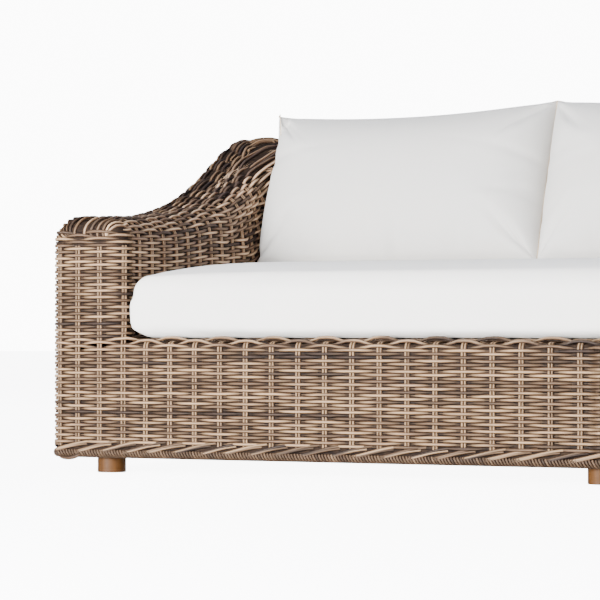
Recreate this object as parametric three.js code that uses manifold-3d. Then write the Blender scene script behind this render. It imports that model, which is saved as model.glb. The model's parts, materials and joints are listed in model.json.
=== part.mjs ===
// A three-seat woven garden sofa: a welded tube frame on six turned teak feet, a woven skin over the
// arms, back and front, a woven seat deck, one long seat cushion and three loose back pillows.
// Millimetres. X runs to the right as seen from the front, Y from the front face back, Z up.
// The pieces are built with Y = 0 at the front face, and the group moves them so that the
// origin is at the middle of the footprint, on the ground.
import * as THREE from "three";
import { mergeVertices } from "three/addons/utils/BufferGeometryUtils.js";
import Module from "manifold-3d";

const wasm = await Module();
wasm.setup();

// Overall sizes
const sofa_width = 2430;
const sofa_depth = 930;
const foot_height = 35;
const seat_height = 283;
const arm_height = 543;
const back_height = 768;
const arm_width = 193;
const back_thickness = 195;
const back_lean_run = 49;

// Woven skin
const weave_thickness = 16;
const top_edge_radius = 57;
const front_edge_radius = 40;
const rear_corner_radius = 60;
const inner_corner_radius = 110;
const hem_radius = 8;
const apron_edge_radius = 20;
const apron_top_depth = 60;

// The arm's crest is one cubic curve: level at the front, climbing through the arm, level along the back
const crest_start_share = 0.06;
const crest_low_handle_share = 0.66;
const crest_high_handle_share = 0.24;
const crest_end_share = 1;

// Frame tubes
const rail_side = 25;
const rail_wall = 2;
const tube_radius = 12.5;
const tube_wall = 2;
const strut_radius = 10;
const strut_reach_share = 0.7;
const rear_post_inset = 45;
const strut_spacing = 640;
const crossbar_spacing = 508;
const base_cross_spacing = 1080;

// Feet
const foot_radius = 30;
const foot_chamfer = 3;
const foot_from_side = 128;
const foot_from_front = 57;
const foot_bore_depth = 25;
const plate_side = 75;
const plate_thickness = 5;
const bolt_radius = 4;
const bolt_head_radius = 7.5;
const bolt_head_height = 5;

// Seat cushion
const cushion_height = 142;
const cushion_crown = 22;
const cushion_top_radius = 60;
const cushion_bottom_radius = 30;
const cushion_front_corner = 34;
const cushion_corner_ease = 30;
const cushion_draw_in = 5;
const cushion_front_setback = 5;

// Back pillows
const pillow_side_gap = 4;
const pillow_height = 392;
const pillow_thickness = 200;
const pillow_seam = 6;
const pillow_draw_in = 15;
const pillow_lean = THREE.MathUtils.degToRad(21);
const pillow_foot_from_back = 118;
const pillow_corner_ease = 32;

// Clearances: where two pieces touch, where soft rests on hard, and one overrun for every cut
const seat_gap = 0.3;
const soft_gap = 0.6;
const corner_gap = 2;
const nest_gap = 1.5;
const base_gap = 3.5;
const overrun = 20;

// Facets
const arc_steps = 4;
const corner_steps = 3;
const arm_steps = 14;
const rail_steps = 9;
const tube_quarter_steps = 3;
const foot_sides = 16;

// Places that follow from the sizes
const half_width = sofa_width / 2;
const inner_half_width = half_width - arm_width;
const back_face = sofa_depth - back_thickness;
const back_lean = back_lean_run / (back_height - seat_height);
const corner_centre_x = inner_half_width - inner_corner_radius;
const corner_centre_y = back_face - inner_corner_radius;
const deck_underside = seat_height - weave_thickness;
const rail_top = deck_underside - seat_gap;
const base_bottom = foot_height + plate_thickness + seat_gap;
const base_top = base_bottom + rail_side;
const rail_front = weave_thickness + seat_gap;
const tube_from_skin = weave_thickness + seat_gap + tube_radius;
const base_rail_centre = weave_thickness + base_gap + rail_side / 2;
const base_z = base_bottom + rail_side / 2;

// Materials
const wicker = new THREE.MeshStandardMaterial({ color: 0xa48f77, roughness: 0.72, metalness: 0 });
const wicker_dark = new THREE.MeshStandardMaterial({ color: 0x7d6b5a, roughness: 0.78, metalness: 0 });
const aluminium = new THREE.MeshStandardMaterial({ color: 0x6b6258, roughness: 0.5, metalness: 0.8 });
const steel = new THREE.MeshStandardMaterial({ color: 0xb4b4b0, roughness: 0.35, metalness: 1 });
const teak = new THREE.MeshStandardMaterial({ color: 0xb98546, roughness: 0.6, metalness: 0 });
const fabric = new THREE.MeshStandardMaterial({ color: 0xf0ede6, roughness: 0.92, metalness: 0 });

const sofa = new THREE.Group();
sofa.position.y = -sofa_depth / 2;

function add(name, geometry, material) {
  const mesh = new THREE.Mesh(geometry, material);
  mesh.name = name;
  sofa.add(mesh);
  return mesh;
}

// Solid work
function toSolid(geometry) {
  const bare = geometry.clone();
  bare.deleteAttribute("normal");
  bare.deleteAttribute("uv");
  const merged = mergeVertices(bare);
  return new wasm.Manifold(
    new wasm.Mesh({
      numProp: 3,
      vertProperties: merged.attributes.position.array,
      triVerts: new Uint32Array(merged.index.array),
    }),
  );
}

function toGeometry(solid) {
  const mesh = solid.getMesh();
  const geometry = new THREE.BufferGeometry();
  geometry.setAttribute("position", new THREE.BufferAttribute(mesh.vertProperties, 3));
  geometry.setIndex(new THREE.BufferAttribute(mesh.triVerts, 1));
  geometry.computeVertexNormals();
  return geometry;
}

function cut(geometry, ...cutters) {
  const solid = cutters.reduce((left, cutter) => left.subtract(toSolid(cutter)), toSolid(geometry));
  return toGeometry(solid);
}

// A solid skinned over rings of equally many points, closed by a flat face at both ends.
// The rings run anticlockwise as seen from the last ring.
function loft(rings) {
  const count = rings[0].length;
  const positions = rings.flat().flatMap((point) => [point.x, point.y, point.z]);
  const faces = [];
  for (let ring = 0; ring + 1 < rings.length; ring += 1) {
    for (let i = 0; i < count; i += 1) {
      const a = ring * count + i;
      const b = ring * count + ((i + 1) % count);
      faces.push(a, b, b + count, a, b + count, a + count);
    }
  }
  for (const last of [false, true]) {
    const start = last ? (rings.length - 1) * count : 0;
    for (const [a, b, c] of capFaces(rings[last ? rings.length - 1 : 0])) {
      if (last) faces.push(start + a, start + b, start + c);
      else faces.push(start + a, start + c, start + b);
    }
  }
  const geometry = new THREE.BufferGeometry();
  geometry.setAttribute("position", new THREE.Float32BufferAttribute(positions, 3));
  geometry.setIndex(faces);
  geometry.computeVertexNormals();
  return facingOut(geometry);
}

// The triangles of a flat ring, laid out in the ring's own plane
function capFaces(ring) {
  const normal = new THREE.Vector3();
  ring.forEach((point, i) => normal.add(point.clone().cross(ring[(i + 1) % ring.length])));
  normal.normalize();
  const side = new THREE.Vector3(normal.y, -normal.x, 0);
  if (side.lengthSq() === 0) side.set(1, 0, 0);
  side.normalize();
  const up = normal.clone().cross(side);
  const flat = ring.map((point) => new THREE.Vector2(point.dot(side), point.dot(up)));
  return THREE.ShapeUtils.triangulateShape(flat, []);
}

function facingOut(geometry) {
  if (toSolid(geometry).volume() > 0) return geometry;
  const index = geometry.index.array;
  for (let i = 0; i < index.length; i += 3) [index[i + 1], index[i + 2]] = [index[i + 2], index[i + 1]];
  geometry.computeVertexNormals();
  return geometry;
}

// Height of the crest, by a search on the cubic curve for the point at this depth
const crest_curve = new THREE.CubicBezierCurve(
  new THREE.Vector2(sofa_depth * crest_start_share, arm_height),
  new THREE.Vector2(sofa_depth * (crest_start_share + crest_low_handle_share), arm_height),
  new THREE.Vector2(sofa_depth * (crest_end_share - crest_high_handle_share), back_height),
  new THREE.Vector2(sofa_depth * crest_end_share, back_height),
);

function crest(y) {
  if (y <= crest_curve.v0.x) return arm_height;
  if (y >= crest_curve.v3.x) return back_height;
  let low = 0;
  let high = 1;
  for (let i = 0; i < 40; i += 1) {
    const middle = (low + high) / 2;
    if (crest_curve.getPoint(middle).x < y) low = middle;
    else high = middle;
  }
  return crest_curve.getPoint(low).y;
}

function steepestCrest() {
  let steepest = 0;
  for (let i = 1; i < 100; i += 1) {
    const slope = crest_curve.getTangent(i / 100);
    steepest = Math.max(steepest, Math.atan2(slope.y, slope.x));
  }
  return steepest;
}

// Inner face of the back at a height, which leans away from the sitter
function backFaceAt(z) {
  return back_face + Math.max(0, z - seat_height) * back_lean;
}

// One cross-section of the skin as a ring: up the outside, over the top, down the inside, then
// back along the hidden face. "outer" and "inner" are where its two faces stand in plan, and
// "lean" is how much of the back's lean the inner face has here.
function skinRing(outer, inner, lean) {
  const along = inner.clone().sub(outer);
  const width = along.length();
  along.normalize();
  const place = (u, z) => {
    const spot = outer.clone().addScaledVector(along, u);
    return new THREE.Vector3(spot.x, spot.y, z);
  };
  const face = (skin, foot, hem) => {
    const radius = top_edge_radius - skin;
    const path = [];
    if (hem) path.push(place(hem_radius, foot), place(0, foot + hem_radius));
    else path.push(place(skin, foot));
    for (let i = 0; i <= arc_steps; i += 1) {
      const angle = (i / arc_steps) * (Math.PI / 2);
      const u = skin + radius * (1 - Math.cos(angle));
      const spot = place(u, 0);
      path.push(place(u, crest(spot.y) - skin - radius * (1 - Math.sin(angle))));
    }
    for (let i = arc_steps; i >= 0; i -= 1) {
      const angle = (i / arc_steps) * (Math.PI / 2);
      const upright = width - skin - radius * (1 - Math.cos(angle));
      const height = crest(place(upright, 0).y) - skin - radius * (1 - Math.sin(angle));
      const u = upright + lean * back_lean * (height - seat_height);
      path.push(place(u, crest(place(u, 0).y) - skin - radius * (1 - Math.sin(angle))));
    }
    path.push(place(width - skin, seat_height), place(width - skin, deck_underside));
    return path;
  };
  return [...face(0, foot_height, true), ...face(weave_thickness, foot_height, false).reverse()];
}

// The arm behind its front cap: straight in plan, with the crest climbing through it
function armSkin(side) {
  const start = front_edge_radius + seat_gap;
  const rings = [];
  for (let i = 0; i <= arm_steps; i += 1) {
    const y = start + ((corner_centre_y - start) * i) / arm_steps;
    const outer = new THREE.Vector2(side * half_width, y);
    const inner = new THREE.Vector2(side * inner_half_width, y);
    rings.push(skinRing(outer, inner, 0));
  }
  return loft(rings);
}

// The corner's outside in plan, measured from the centre of its inside: along the side, round the
// rear corner and along the rear
function cornerOutside() {
  const to_side = half_width - corner_centre_x;
  const to_rear = sofa_depth - corner_centre_y;
  const round_x = to_side - rear_corner_radius;
  const round_y = to_rear - rear_corner_radius;
  const side_turn = Math.atan2(round_y, to_side);
  const rear_turn = Math.atan2(round_x, to_rear);
  const spots = [new THREE.Vector2(to_side, seat_gap)];
  for (let i = 1; i < corner_steps; i += 1) {
    spots.push(new THREE.Vector2(to_side, to_side * Math.tan((side_turn * i) / corner_steps)));
  }
  for (let i = 0; i <= arc_steps; i += 1) {
    const angle = (i / arc_steps) * (Math.PI / 2);
    const x = round_x + rear_corner_radius * Math.cos(angle);
    spots.push(new THREE.Vector2(x, round_y + rear_corner_radius * Math.sin(angle)));
  }
  for (let i = corner_steps - 1; i > 0; i -= 1) {
    spots.push(new THREE.Vector2(to_rear * Math.tan((rear_turn * i) / corner_steps), to_rear));
  }
  spots.push(new THREE.Vector2(seat_gap, to_rear));
  return spots;
}

// The corner, where the arm sweeps round into the back and its inner face takes up the lean
function cornerSkin(side) {
  const place = (spot) => new THREE.Vector2(side * (corner_centre_x + spot.x), corner_centre_y + spot.y);
  const rings = cornerOutside().map((outside, i, all) => {
    const direction = outside.clone().normalize();
    const inside = direction.clone().multiplyScalar(inner_corner_radius);
    if (i === 0) inside.y = outside.y;
    if (i === all.length - 1) inside.x = outside.x;
    return skinRing(place(outside), place(inside), -(direction.y ** 2));
  });
  return loft(rings);
}

function backSkin() {
  const reach = corner_centre_x - seat_gap;
  const rings = [-reach, reach].map((x) =>
    skinRing(new THREE.Vector2(x, sofa_depth), new THREE.Vector2(x, back_face), -1),
  );
  return loft(rings);
}

// The arm's front: a plate whose outer, top and inner edges roll back over the frame
function armFrontRing(side, skin, inset, y) {
  const edge = skin + inset;
  const radius = Math.max(top_edge_radius - edge, 0);
  const centre_z = arm_height - top_edge_radius;
  const foot = skin > 0 ? -overrun : foot_height;
  const outer_x = half_width - edge;
  const inner_x = inner_half_width + edge;
  const points = [[outer_x, foot]];
  for (let i = 0; i <= arc_steps; i += 1) {
    const angle = (i / arc_steps) * (Math.PI / 2);
    const x = outer_x - radius * (1 - Math.cos(angle));
    points.push([x, centre_z + radius * Math.sin(angle)]);
  }
  for (let i = arc_steps; i >= 0; i -= 1) {
    const angle = (i / arc_steps) * (Math.PI / 2);
    const x = inner_x + radius * (1 - Math.cos(angle));
    points.push([x, centre_z + radius * Math.sin(angle)]);
  }
  const low_x = skin > 0 ? inner_half_width - overrun : inner_half_width;
  points.push([inner_x, seat_height + front_edge_radius]);
  points.push([skin > 0 ? inner_x : low_x, seat_height - skin], [low_x, seat_height - skin - seat_gap]);
  points.push([low_x, foot]);
  return points.map(([x, z]) => new THREE.Vector3(side * x, y, z));
}

function armFrontPlug(side, skin) {
  const radius = front_edge_radius - skin;
  const rings = [];
  for (let i = 0; i <= arc_steps; i += 1) {
    const angle = (i / arc_steps) * (Math.PI / 2);
    const inset = radius * (1 - Math.sin(angle));
    rings.push(armFrontRing(side, skin, inset, skin + radius * (1 - Math.cos(angle))));
  }
  if (skin > 0) rings.push(armFrontRing(side, skin, 0, front_edge_radius + overrun));
  return loft(rings);
}

function armFront(side) {
  return cut(armFrontPlug(side, 0), armFrontPlug(side, weave_thickness));
}

// The front below the seat: a panel that rolls back over the seat rail
function apron() {
  const shape = new THREE.Shape();
  shape.moveTo(hem_radius, foot_height);
  shape.lineTo(weave_thickness, foot_height);
  shape.lineTo(weave_thickness, deck_underside);
  shape.lineTo(apron_top_depth, deck_underside);
  shape.lineTo(apron_top_depth, seat_height);
  shape.lineTo(apron_edge_radius, seat_height);
  shape.absarc(
    apron_edge_radius, seat_height - apron_edge_radius, apron_edge_radius, Math.PI / 2, Math.PI, false,
  );
  shape.lineTo(0, foot_height + hem_radius);
  return alongX(shape, inner_half_width - seat_gap, arc_steps);
}

// A shape drawn in Y and Z, drawn out along X to both sides of the middle
function alongX(shape, reach, steps) {
  const settings = { depth: 2 * reach, bevelEnabled: false, curveSegments: steps };
  const geometry = new THREE.ExtrudeGeometry(shape, settings);
  const turn = new THREE.Matrix4().makeBasis(
    new THREE.Vector3(0, 1, 0),
    new THREE.Vector3(0, 0, 1),
    new THREE.Vector3(1, 0, 0),
  );
  return geometry.applyMatrix4(turn).translate(-reach, 0, 0);
}

// Tubes
function roundSection(radius, wall) {
  const shape = new THREE.Shape().absarc(0, 0, radius, 0, Math.PI * 2, false);
  shape.holes.push(new THREE.Path().absarc(0, 0, radius - wall, 0, Math.PI * 2, true));
  return shape;
}

function squareSection(side, wall) {
  const square = (path, half) => {
    path.moveTo(-half, -half);
    path.lineTo(half, -half);
    path.lineTo(half, half);
    path.lineTo(-half, half);
    return path;
  };
  const shape = square(new THREE.Shape(), side / 2);
  shape.holes.push(square(new THREE.Path(), side / 2 - wall));
  return shape;
}

// A straight length of section between two points, a square one with a face upwards or forwards
function straight(section, from, to) {
  const depth = from.distanceTo(to);
  const settings = { depth, bevelEnabled: false, curveSegments: 2 * tube_quarter_steps };
  const geometry = new THREE.ExtrudeGeometry(section, settings);
  const along = to.clone().sub(from).normalize();
  const side = Math.abs(along.x) > Math.abs(along.y) && Math.abs(along.x) > Math.abs(along.z)
    ? new THREE.Vector3(0, 1, 0)
    : new THREE.Vector3(1, 0, 0);
  const up = along.clone().cross(side).normalize();
  const turn = new THREE.Matrix4().makeBasis(up.clone().cross(along), up, along);
  return geometry.applyMatrix4(turn).translate(from.x, from.y, from.z);
}

// The space that a round tube takes, with the gap of a welded joint round it
function tubeSpace(radius, from, to) {
  const full = (radius + seat_gap) / Math.cos(Math.PI / (4 * tube_quarter_steps));
  const shape = new THREE.Shape().absarc(0, 0, full, 0, Math.PI * 2, false);
  return straight(shape, from, to);
}

function point(x, y, z) {
  return new THREE.Vector3(x, y, z);
}

const square_tube = squareSection(rail_side, rail_wall);
const round_tube = roundSection(tube_radius, tube_wall);
const strut_tube = roundSection(strut_radius, tube_wall);

// Front hoops: one bent tube up, over and down inside each arm's front
const hoop_y = front_edge_radius;
const hoop_outer_x = half_width - tube_from_skin;
const hoop_inner_x = inner_half_width + tube_from_skin;
const hoop_bend = top_edge_radius - tube_from_skin;
const hoop_top = arm_height - tube_from_skin;

function frontHoop(side) {
  const path = new THREE.CurvePath();
  const corner = (centre_x, from_angle, to_angle) => {
    const bend = [];
    for (let i = 0; i <= arc_steps; i += 1) {
      const angle = from_angle + ((to_angle - from_angle) * i) / arc_steps;
      const x = side * (centre_x + hoop_bend * Math.cos(angle));
      bend.push(point(x, hoop_y, hoop_top - hoop_bend + hoop_bend * Math.sin(angle)));
    }
    return bend;
  };
  const spots = [
    point(side * hoop_outer_x, hoop_y, base_bottom),
    ...corner(hoop_outer_x - hoop_bend, 0, Math.PI / 2),
    ...corner(hoop_inner_x + hoop_bend, Math.PI / 2, Math.PI),
    point(side * hoop_inner_x, hoop_y, base_top + seat_gap),
  ];
  return sweep(spots, tube_radius, tube_wall);
}

// A hollow round tube through given points, one ring square to the path at each
function sweep(spots, radius, wall) {
  const across = point(0, 1, 0);
  const sides = 4 * tube_quarter_steps;
  const rings = (size) =>
    spots.map((spot, i) => {
      const before = spots[Math.max(i - 1, 0)];
      const after = spots[Math.min(i + 1, spots.length - 1)];
      const into = spot.clone().sub(before).normalize();
      const out = after.clone().sub(spot).normalize();
      const along = into.clone().add(out).normalize();
      const lateral = Math.abs(along.y) > Math.SQRT1_2 ? point(1, 0, 0) : across;
      const side = lateral.clone().cross(along).normalize();
      const other = along.clone().cross(side);
      return Array.from({ length: sides }, (unused, k) => {
        const angle = (k / sides) * Math.PI * 2;
        return spot
          .clone()
          .addScaledVector(side, size * Math.cos(angle))
          .addScaledVector(other, size * Math.sin(angle));
      });
    });
  return wallBetween(rings(radius), rings(radius - wall));
}

// The closed wall between an outer and an inner skin of rings, open at both ends like a pipe
function wallBetween(outer, inner) {
  const count = outer[0].length;
  const last = outer.length - 1;
  const positions = [...outer, ...inner].flat().flatMap((spot) => [spot.x, spot.y, spot.z]);
  const offset = outer.length * count;
  const faces = [];
  const quad = (a, b, c, d) => faces.push(a, b, c, a, c, d);
  for (let i = 0; i < count; i += 1) {
    const j = (i + 1) % count;
    for (let ring = 0; ring < last; ring += 1) {
      const a = ring * count;
      quad(a + i, a + j, a + count + j, a + count + i);
      quad(offset + a + j, offset + a + i, offset + a + count + i, offset + a + count + j);
    }
    const end = last * count;
    quad(i, offset + i, offset + j, j);
    quad(end + j, offset + end + j, offset + end + i, end + i);
  }
  const geometry = new THREE.BufferGeometry();
  geometry.setAttribute("position", new THREE.Float32BufferAttribute(positions, 3));
  geometry.setIndex(faces);
  geometry.computeVertexNormals();
  return facingOut(geometry);
}

// Arm rails lie in the rounded top edges and climb with the crest
const slope_factor = 1 / Math.cos(steepestCrest());
const nest = (top_edge_radius - weave_thickness - nest_gap - tube_radius * slope_factor) * Math.SQRT1_2;
const nest_from_face = top_edge_radius - nest;
const rear_rail_y = sofa_depth - nest_from_face;
const top_rail_z = back_height - nest_from_face;
const top_rail_y = backFaceAt(top_rail_z) + nest_from_face;
const front_top_rail_z = crest(backFaceAt(top_rail_z)) - nest_from_face;
const corner_post_x = half_width - rear_post_inset;
const corner_post_y = sofa_depth - rear_post_inset;

function postSpace(side) {
  const x = side * corner_post_x;
  return tubeSpace(tube_radius, point(x, corner_post_y, -overrun), point(x, corner_post_y, back_height));
}

function legSpace(x, from, to) {
  return tubeSpace(tube_radius, point(x, hoop_y, from), point(x, hoop_y, to));
}

function armRail(side, x, rear_y, cutters) {
  const start = hoop_y;
  const spots = [];
  for (let i = 0; i <= rail_steps; i += 1) {
    const y = start + ((rear_y - start) * i) / rail_steps;
    spots.push(point(side * x, y, crest(y) - nest_from_face));
  }
  return cut(sweep(spots, tube_radius, tube_wall), ...cutters);
}

for (const [side, word] of [[-1, "left"], [1, "right"]]) {
  add(`front_hoop_${word}`, frontHoop(side), aluminium);
  const outer_leg = legSpace(side * hoop_outer_x, -overrun, base_top + overrun);
  const outer_x = half_width - nest_from_face;
  const inner_x = inner_half_width + nest_from_face;
  const hoop_space = new THREE.BoxGeometry(arm_width, 2 * (tube_radius + seat_gap), arm_height)
    .translate(side * outer_x, hoop_y, arm_height - nest_from_face);
  const inner_space = hoop_space.clone().translate(side * (inner_x - outer_x), 0, 0);
  const top_rail_space = tubeSpace(
    tube_radius,
    point(-half_width, top_rail_y, front_top_rail_z),
    point(half_width, top_rail_y, front_top_rail_z),
  );
  const outer_rail = armRail(side, outer_x, corner_post_y, [hoop_space, postSpace(side)]);
  add(`arm_rail_${word}_outer`, outer_rail, aluminium);
  const inner_rail = armRail(side, inner_x, top_rail_y, [inner_space, top_rail_space]);
  add(`arm_rail_${word}_inner`, inner_rail, aluminium);

  const base_x = side * (half_width - base_rail_centre);
  const base_start = base_rail_centre + rail_side / 2 + seat_gap;
  const base_end = point(base_x, corner_post_y, base_z);
  const base_rail = straight(square_tube, point(base_x, base_start, base_z), base_end);
  add(`base_rail_${word}`, cut(base_rail, outer_leg, postSpace(side)), aluminium);

  add(
    `corner_post_${word}`,
    straight(
      round_tube,
      point(side * corner_post_x, corner_post_y, base_bottom),
      point(side * corner_post_x, corner_post_y, top_rail_z),
    ),
    aluminium,
  );
  add(
    `rear_post_${word}`,
    straight(
      square_tube,
      point(side * inner_half_width, rear_rail_y, base_top + seat_gap),
      point(side * inner_half_width, rear_rail_y, top_rail_z - tube_radius - seat_gap),
    ),
    aluminium,
  );
  add(
    `seat_rail_${word}`,
    straight(
      square_tube,
      point(side * inner_half_width, rail_front + rail_side + seat_gap, rail_top - rail_side / 2),
      point(side * inner_half_width, rear_rail_y - rail_side / 2 - seat_gap, rail_top - rail_side / 2),
    ),
    aluminium,
  );
  add(
    `base_cross_rail_${word}`,
    straight(
      square_tube,
      point((side * base_cross_spacing) / 2, base_start, base_z),
      point((side * base_cross_spacing) / 2, sofa_depth - base_start, base_z),
    ),
    aluminium,
  );
}

// Rails that run the whole width
function acrossRail(reach, y, z, cutters) {
  const rail = straight(square_tube, point(-reach, y, z), point(reach, y, z));
  return cutters.length ? cut(rail, ...cutters) : rail;
}

function mirrored(make) {
  return [make(-1), make(1)];
}

const front_rail_y = rail_front + rail_side / 2;
const seat_z = rail_top - rail_side / 2;

const base_legs = mirrored((side) => legSpace(side * hoop_outer_x, 0, base_top + overrun));
const seat_legs = mirrored((side) => legSpace(side * hoop_inner_x, 0, arm_height));
add(
  "base_rail_front",
  acrossRail(half_width - front_edge_radius, base_rail_centre, base_z, base_legs),
  aluminium,
);
add(
  "base_rail_rear",
  acrossRail(corner_post_x, sofa_depth - base_rail_centre, base_z, mirrored(postSpace)),
  aluminium,
);
add(
  "seat_rail_front",
  acrossRail(hoop_inner_x, front_rail_y, seat_z, seat_legs),
  aluminium,
);
// It carries the foot of the back's inner skin, and the struts behind it
const seat_rear_y = back_face + weave_thickness + strut_radius - rail_side / 4;
add(
  "seat_rail_rear",
  acrossRail(inner_half_width - rail_side / 2 - seat_gap, seat_rear_y, seat_z, []),
  aluminium,
);
add(
  "front_post",
  straight(
    square_tube,
    point(0, front_rail_y, base_top + seat_gap),
    point(0, front_rail_y, rail_top - rail_side - seat_gap),
  ),
  aluminium,
);
[-1, 0, 1].forEach((step, i) => {
  add(
    `seat_crossbar_${i + 1}`,
    straight(
      square_tube,
      point(step * crossbar_spacing, rail_front + rail_side + seat_gap, seat_z),
      point(step * crossbar_spacing, seat_rear_y - rail_side / 2 - seat_gap, seat_z),
    ),
    aluminium,
  );
});

// Two top rails inside the back's rounded edges, and struts that lean with its inner face
const top_reach = half_width - nest_from_face - tube_radius - seat_gap;
add(
  "back_rail_front",
  straight(
    round_tube,
    point(-top_reach, top_rail_y, front_top_rail_z),
    point(top_reach, top_rail_y, front_top_rail_z),
  ),
  aluminium,
);
const rear_reach = corner_post_x - tube_radius / 2;
add(
  "back_rail_rear",
  cut(
    straight(
      round_tube,
      point(-rear_reach, rear_rail_y, top_rail_z),
      point(rear_reach, rear_rail_y, top_rail_z),
    ),
    ...mirrored(postSpace),
  ),
  aluminium,
);
const strut_offset = weave_thickness + 2 * seat_gap + strut_radius / Math.cos(Math.atan(back_lean));
[-1, 0, 1].forEach((step, i) => {
  const x = step * strut_spacing;
  const foot = point(x, back_face + strut_offset, deck_underside);
  const head = point(x, backFaceAt(front_top_rail_z) + strut_offset, front_top_rail_z);
  const rail = tubeSpace(
    tube_radius,
    point(x - overrun, top_rail_y, front_top_rail_z),
    point(x + overrun, top_rail_y, front_top_rail_z),
  );
  const under = new THREE.BoxGeometry(2 * overrun, 4 * overrun, 2 * overrun).translate(
    x, back_face + strut_offset, rail_top + seat_gap - overrun,
  );
  const above = new THREE.BoxGeometry(2 * overrun, 8 * overrun, 2 * overrun).translate(
    x, top_rail_y, front_top_rail_z - strut_reach_share * tube_radius + overrun,
  );
  add(`back_strut_${i + 1}`, cut(straight(strut_tube, foot, head), rail, under, above), aluminium);
});

// Turned feet: a teak puck with a blind bore, a welded plate above it and the bolt that joins them
function foot() {
  const top = foot_height - seat_gap;
  const bore = bolt_radius + seat_gap;
  const floor = top - foot_bore_depth;
  const profile = [
    [0, 0],
    [foot_radius - foot_chamfer, 0],
    [foot_radius, foot_chamfer],
    [foot_radius, top],
    [bore, top],
    [bore, floor],
    [0, floor],
  ];
  const points = profile.map(([r, z]) => new THREE.Vector2(r, z));
  return new THREE.LatheGeometry(points, foot_sides).rotateX(Math.PI / 2);
}

function footPlate() {
  const shape = new THREE.Shape();
  const half = plate_side / 2;
  shape.moveTo(-half, -half);
  shape.lineTo(half, -half);
  shape.lineTo(half, half);
  shape.lineTo(-half, half);
  const hole = new THREE.Path().absarc(0, 0, bolt_radius + seat_gap, 0, Math.PI * 2, true);
  shape.holes.push(hole);
  const settings = { depth: plate_thickness, bevelEnabled: false, curveSegments: 2 * tube_quarter_steps };
  return new THREE.ExtrudeGeometry(shape, settings).translate(0, 0, foot_height);
}

function footBolt() {
  const seat = foot_height + plate_thickness + seat_gap;
  const tip = foot_height - foot_bore_depth + bolt_radius;
  const length = seat - tip + bolt_head_height / 2;
  const shank = new THREE.CylinderGeometry(bolt_radius, bolt_radius, length, 4 * tube_quarter_steps)
    .rotateX(Math.PI / 2)
    .translate(0, 0, (seat + bolt_head_height / 2 + tip) / 2);
  const head = new THREE.CylinderGeometry(bolt_head_radius, bolt_head_radius, bolt_head_height, 6)
    .rotateX(Math.PI / 2)
    .translate(0, 0, seat + bolt_head_height / 2);
  return toGeometry(toSolid(head).add(toSolid(shank)));
}

const foot_x = half_width - foot_from_side;
const foot_places = [];
for (const [row, y] of [["front", foot_from_front], ["rear", sofa_depth - foot_from_front]]) {
  for (const [word, x] of [["left", -foot_x], ["centre", 0], ["right", foot_x]]) {
    foot_places.push([`${row}_${word}`, x, y]);
  }
}
for (const [place, x, y] of foot_places) {
  add(`foot_${place}`, foot(), teak).position.set(x, y, 0);
  add(`foot_plate_${place}`, footPlate(), aluminium).position.set(x, y, 0);
  add(`foot_bolt_${place}`, footBolt(), steel).position.set(x, y, 0);
}

// Woven skin and deck
for (const [side, word] of [[-1, "left"], [1, "right"]]) {
  add(`weave_arm_front_${word}`, armFront(side), wicker);
  add(`weave_arm_${word}`, armSkin(side), wicker);
  add(`weave_corner_${word}`, cornerSkin(side), wicker);
}
add("weave_back", backSkin(), wicker);
add("weave_apron", apron(), wicker);

function seatDeck() {
  const reach = inner_half_width - seat_gap;
  const rear = back_face - seat_gap;
  const radius = inner_corner_radius + 2 * corner_gap;
  const shape = new THREE.Shape();
  shape.moveTo(-reach, apron_top_depth + seat_gap);
  shape.lineTo(reach, apron_top_depth + seat_gap);
  shape.lineTo(reach, rear - radius);
  shape.absarc(reach - radius, rear - radius, radius, 0, Math.PI / 2, false);
  shape.lineTo(-reach + radius, rear);
  shape.absarc(-reach + radius, rear - radius, radius, Math.PI / 2, Math.PI, false);
  const settings = { depth: weave_thickness, bevelEnabled: false, curveSegments: 2 * corner_steps };
  return new THREE.ExtrudeGeometry(shape, settings).translate(0, 0, deck_underside);
}
add("seat_deck", seatDeck(), wicker_dark);

// Soft goods. A box with closely set rows near its edges is rounded, crowned and drawn in.
function closeToEdge(u) {
  return Math.sign(u) * (1 - (1 - Math.abs(u)) ** 2);
}

const cushion_half_x = inner_half_width - corner_gap;
const cushion_front = cushion_front_setback;
const cushion_rear = back_face - corner_gap;
const cushion_half_y = (cushion_rear - cushion_front) / 2;
const cushion_mid_y = (cushion_rear + cushion_front) / 2;
const cushion_half_z = cushion_height / 2;
const cushion_bottom = seat_height + seat_gap;

function crownAt(u, v) {
  return cushion_crown * Math.sqrt(Math.max(0, 1 - u ** 4) * Math.max(0, 1 - v ** 4));
}

function cushionTop(x, y) {
  const u = THREE.MathUtils.clamp(x / cushion_half_x, -1, 1);
  const v = THREE.MathUtils.clamp((y - cushion_mid_y) / cushion_half_y, -1, 1);
  return cushion_bottom + cushion_height + crownAt(u, v);
}

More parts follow.
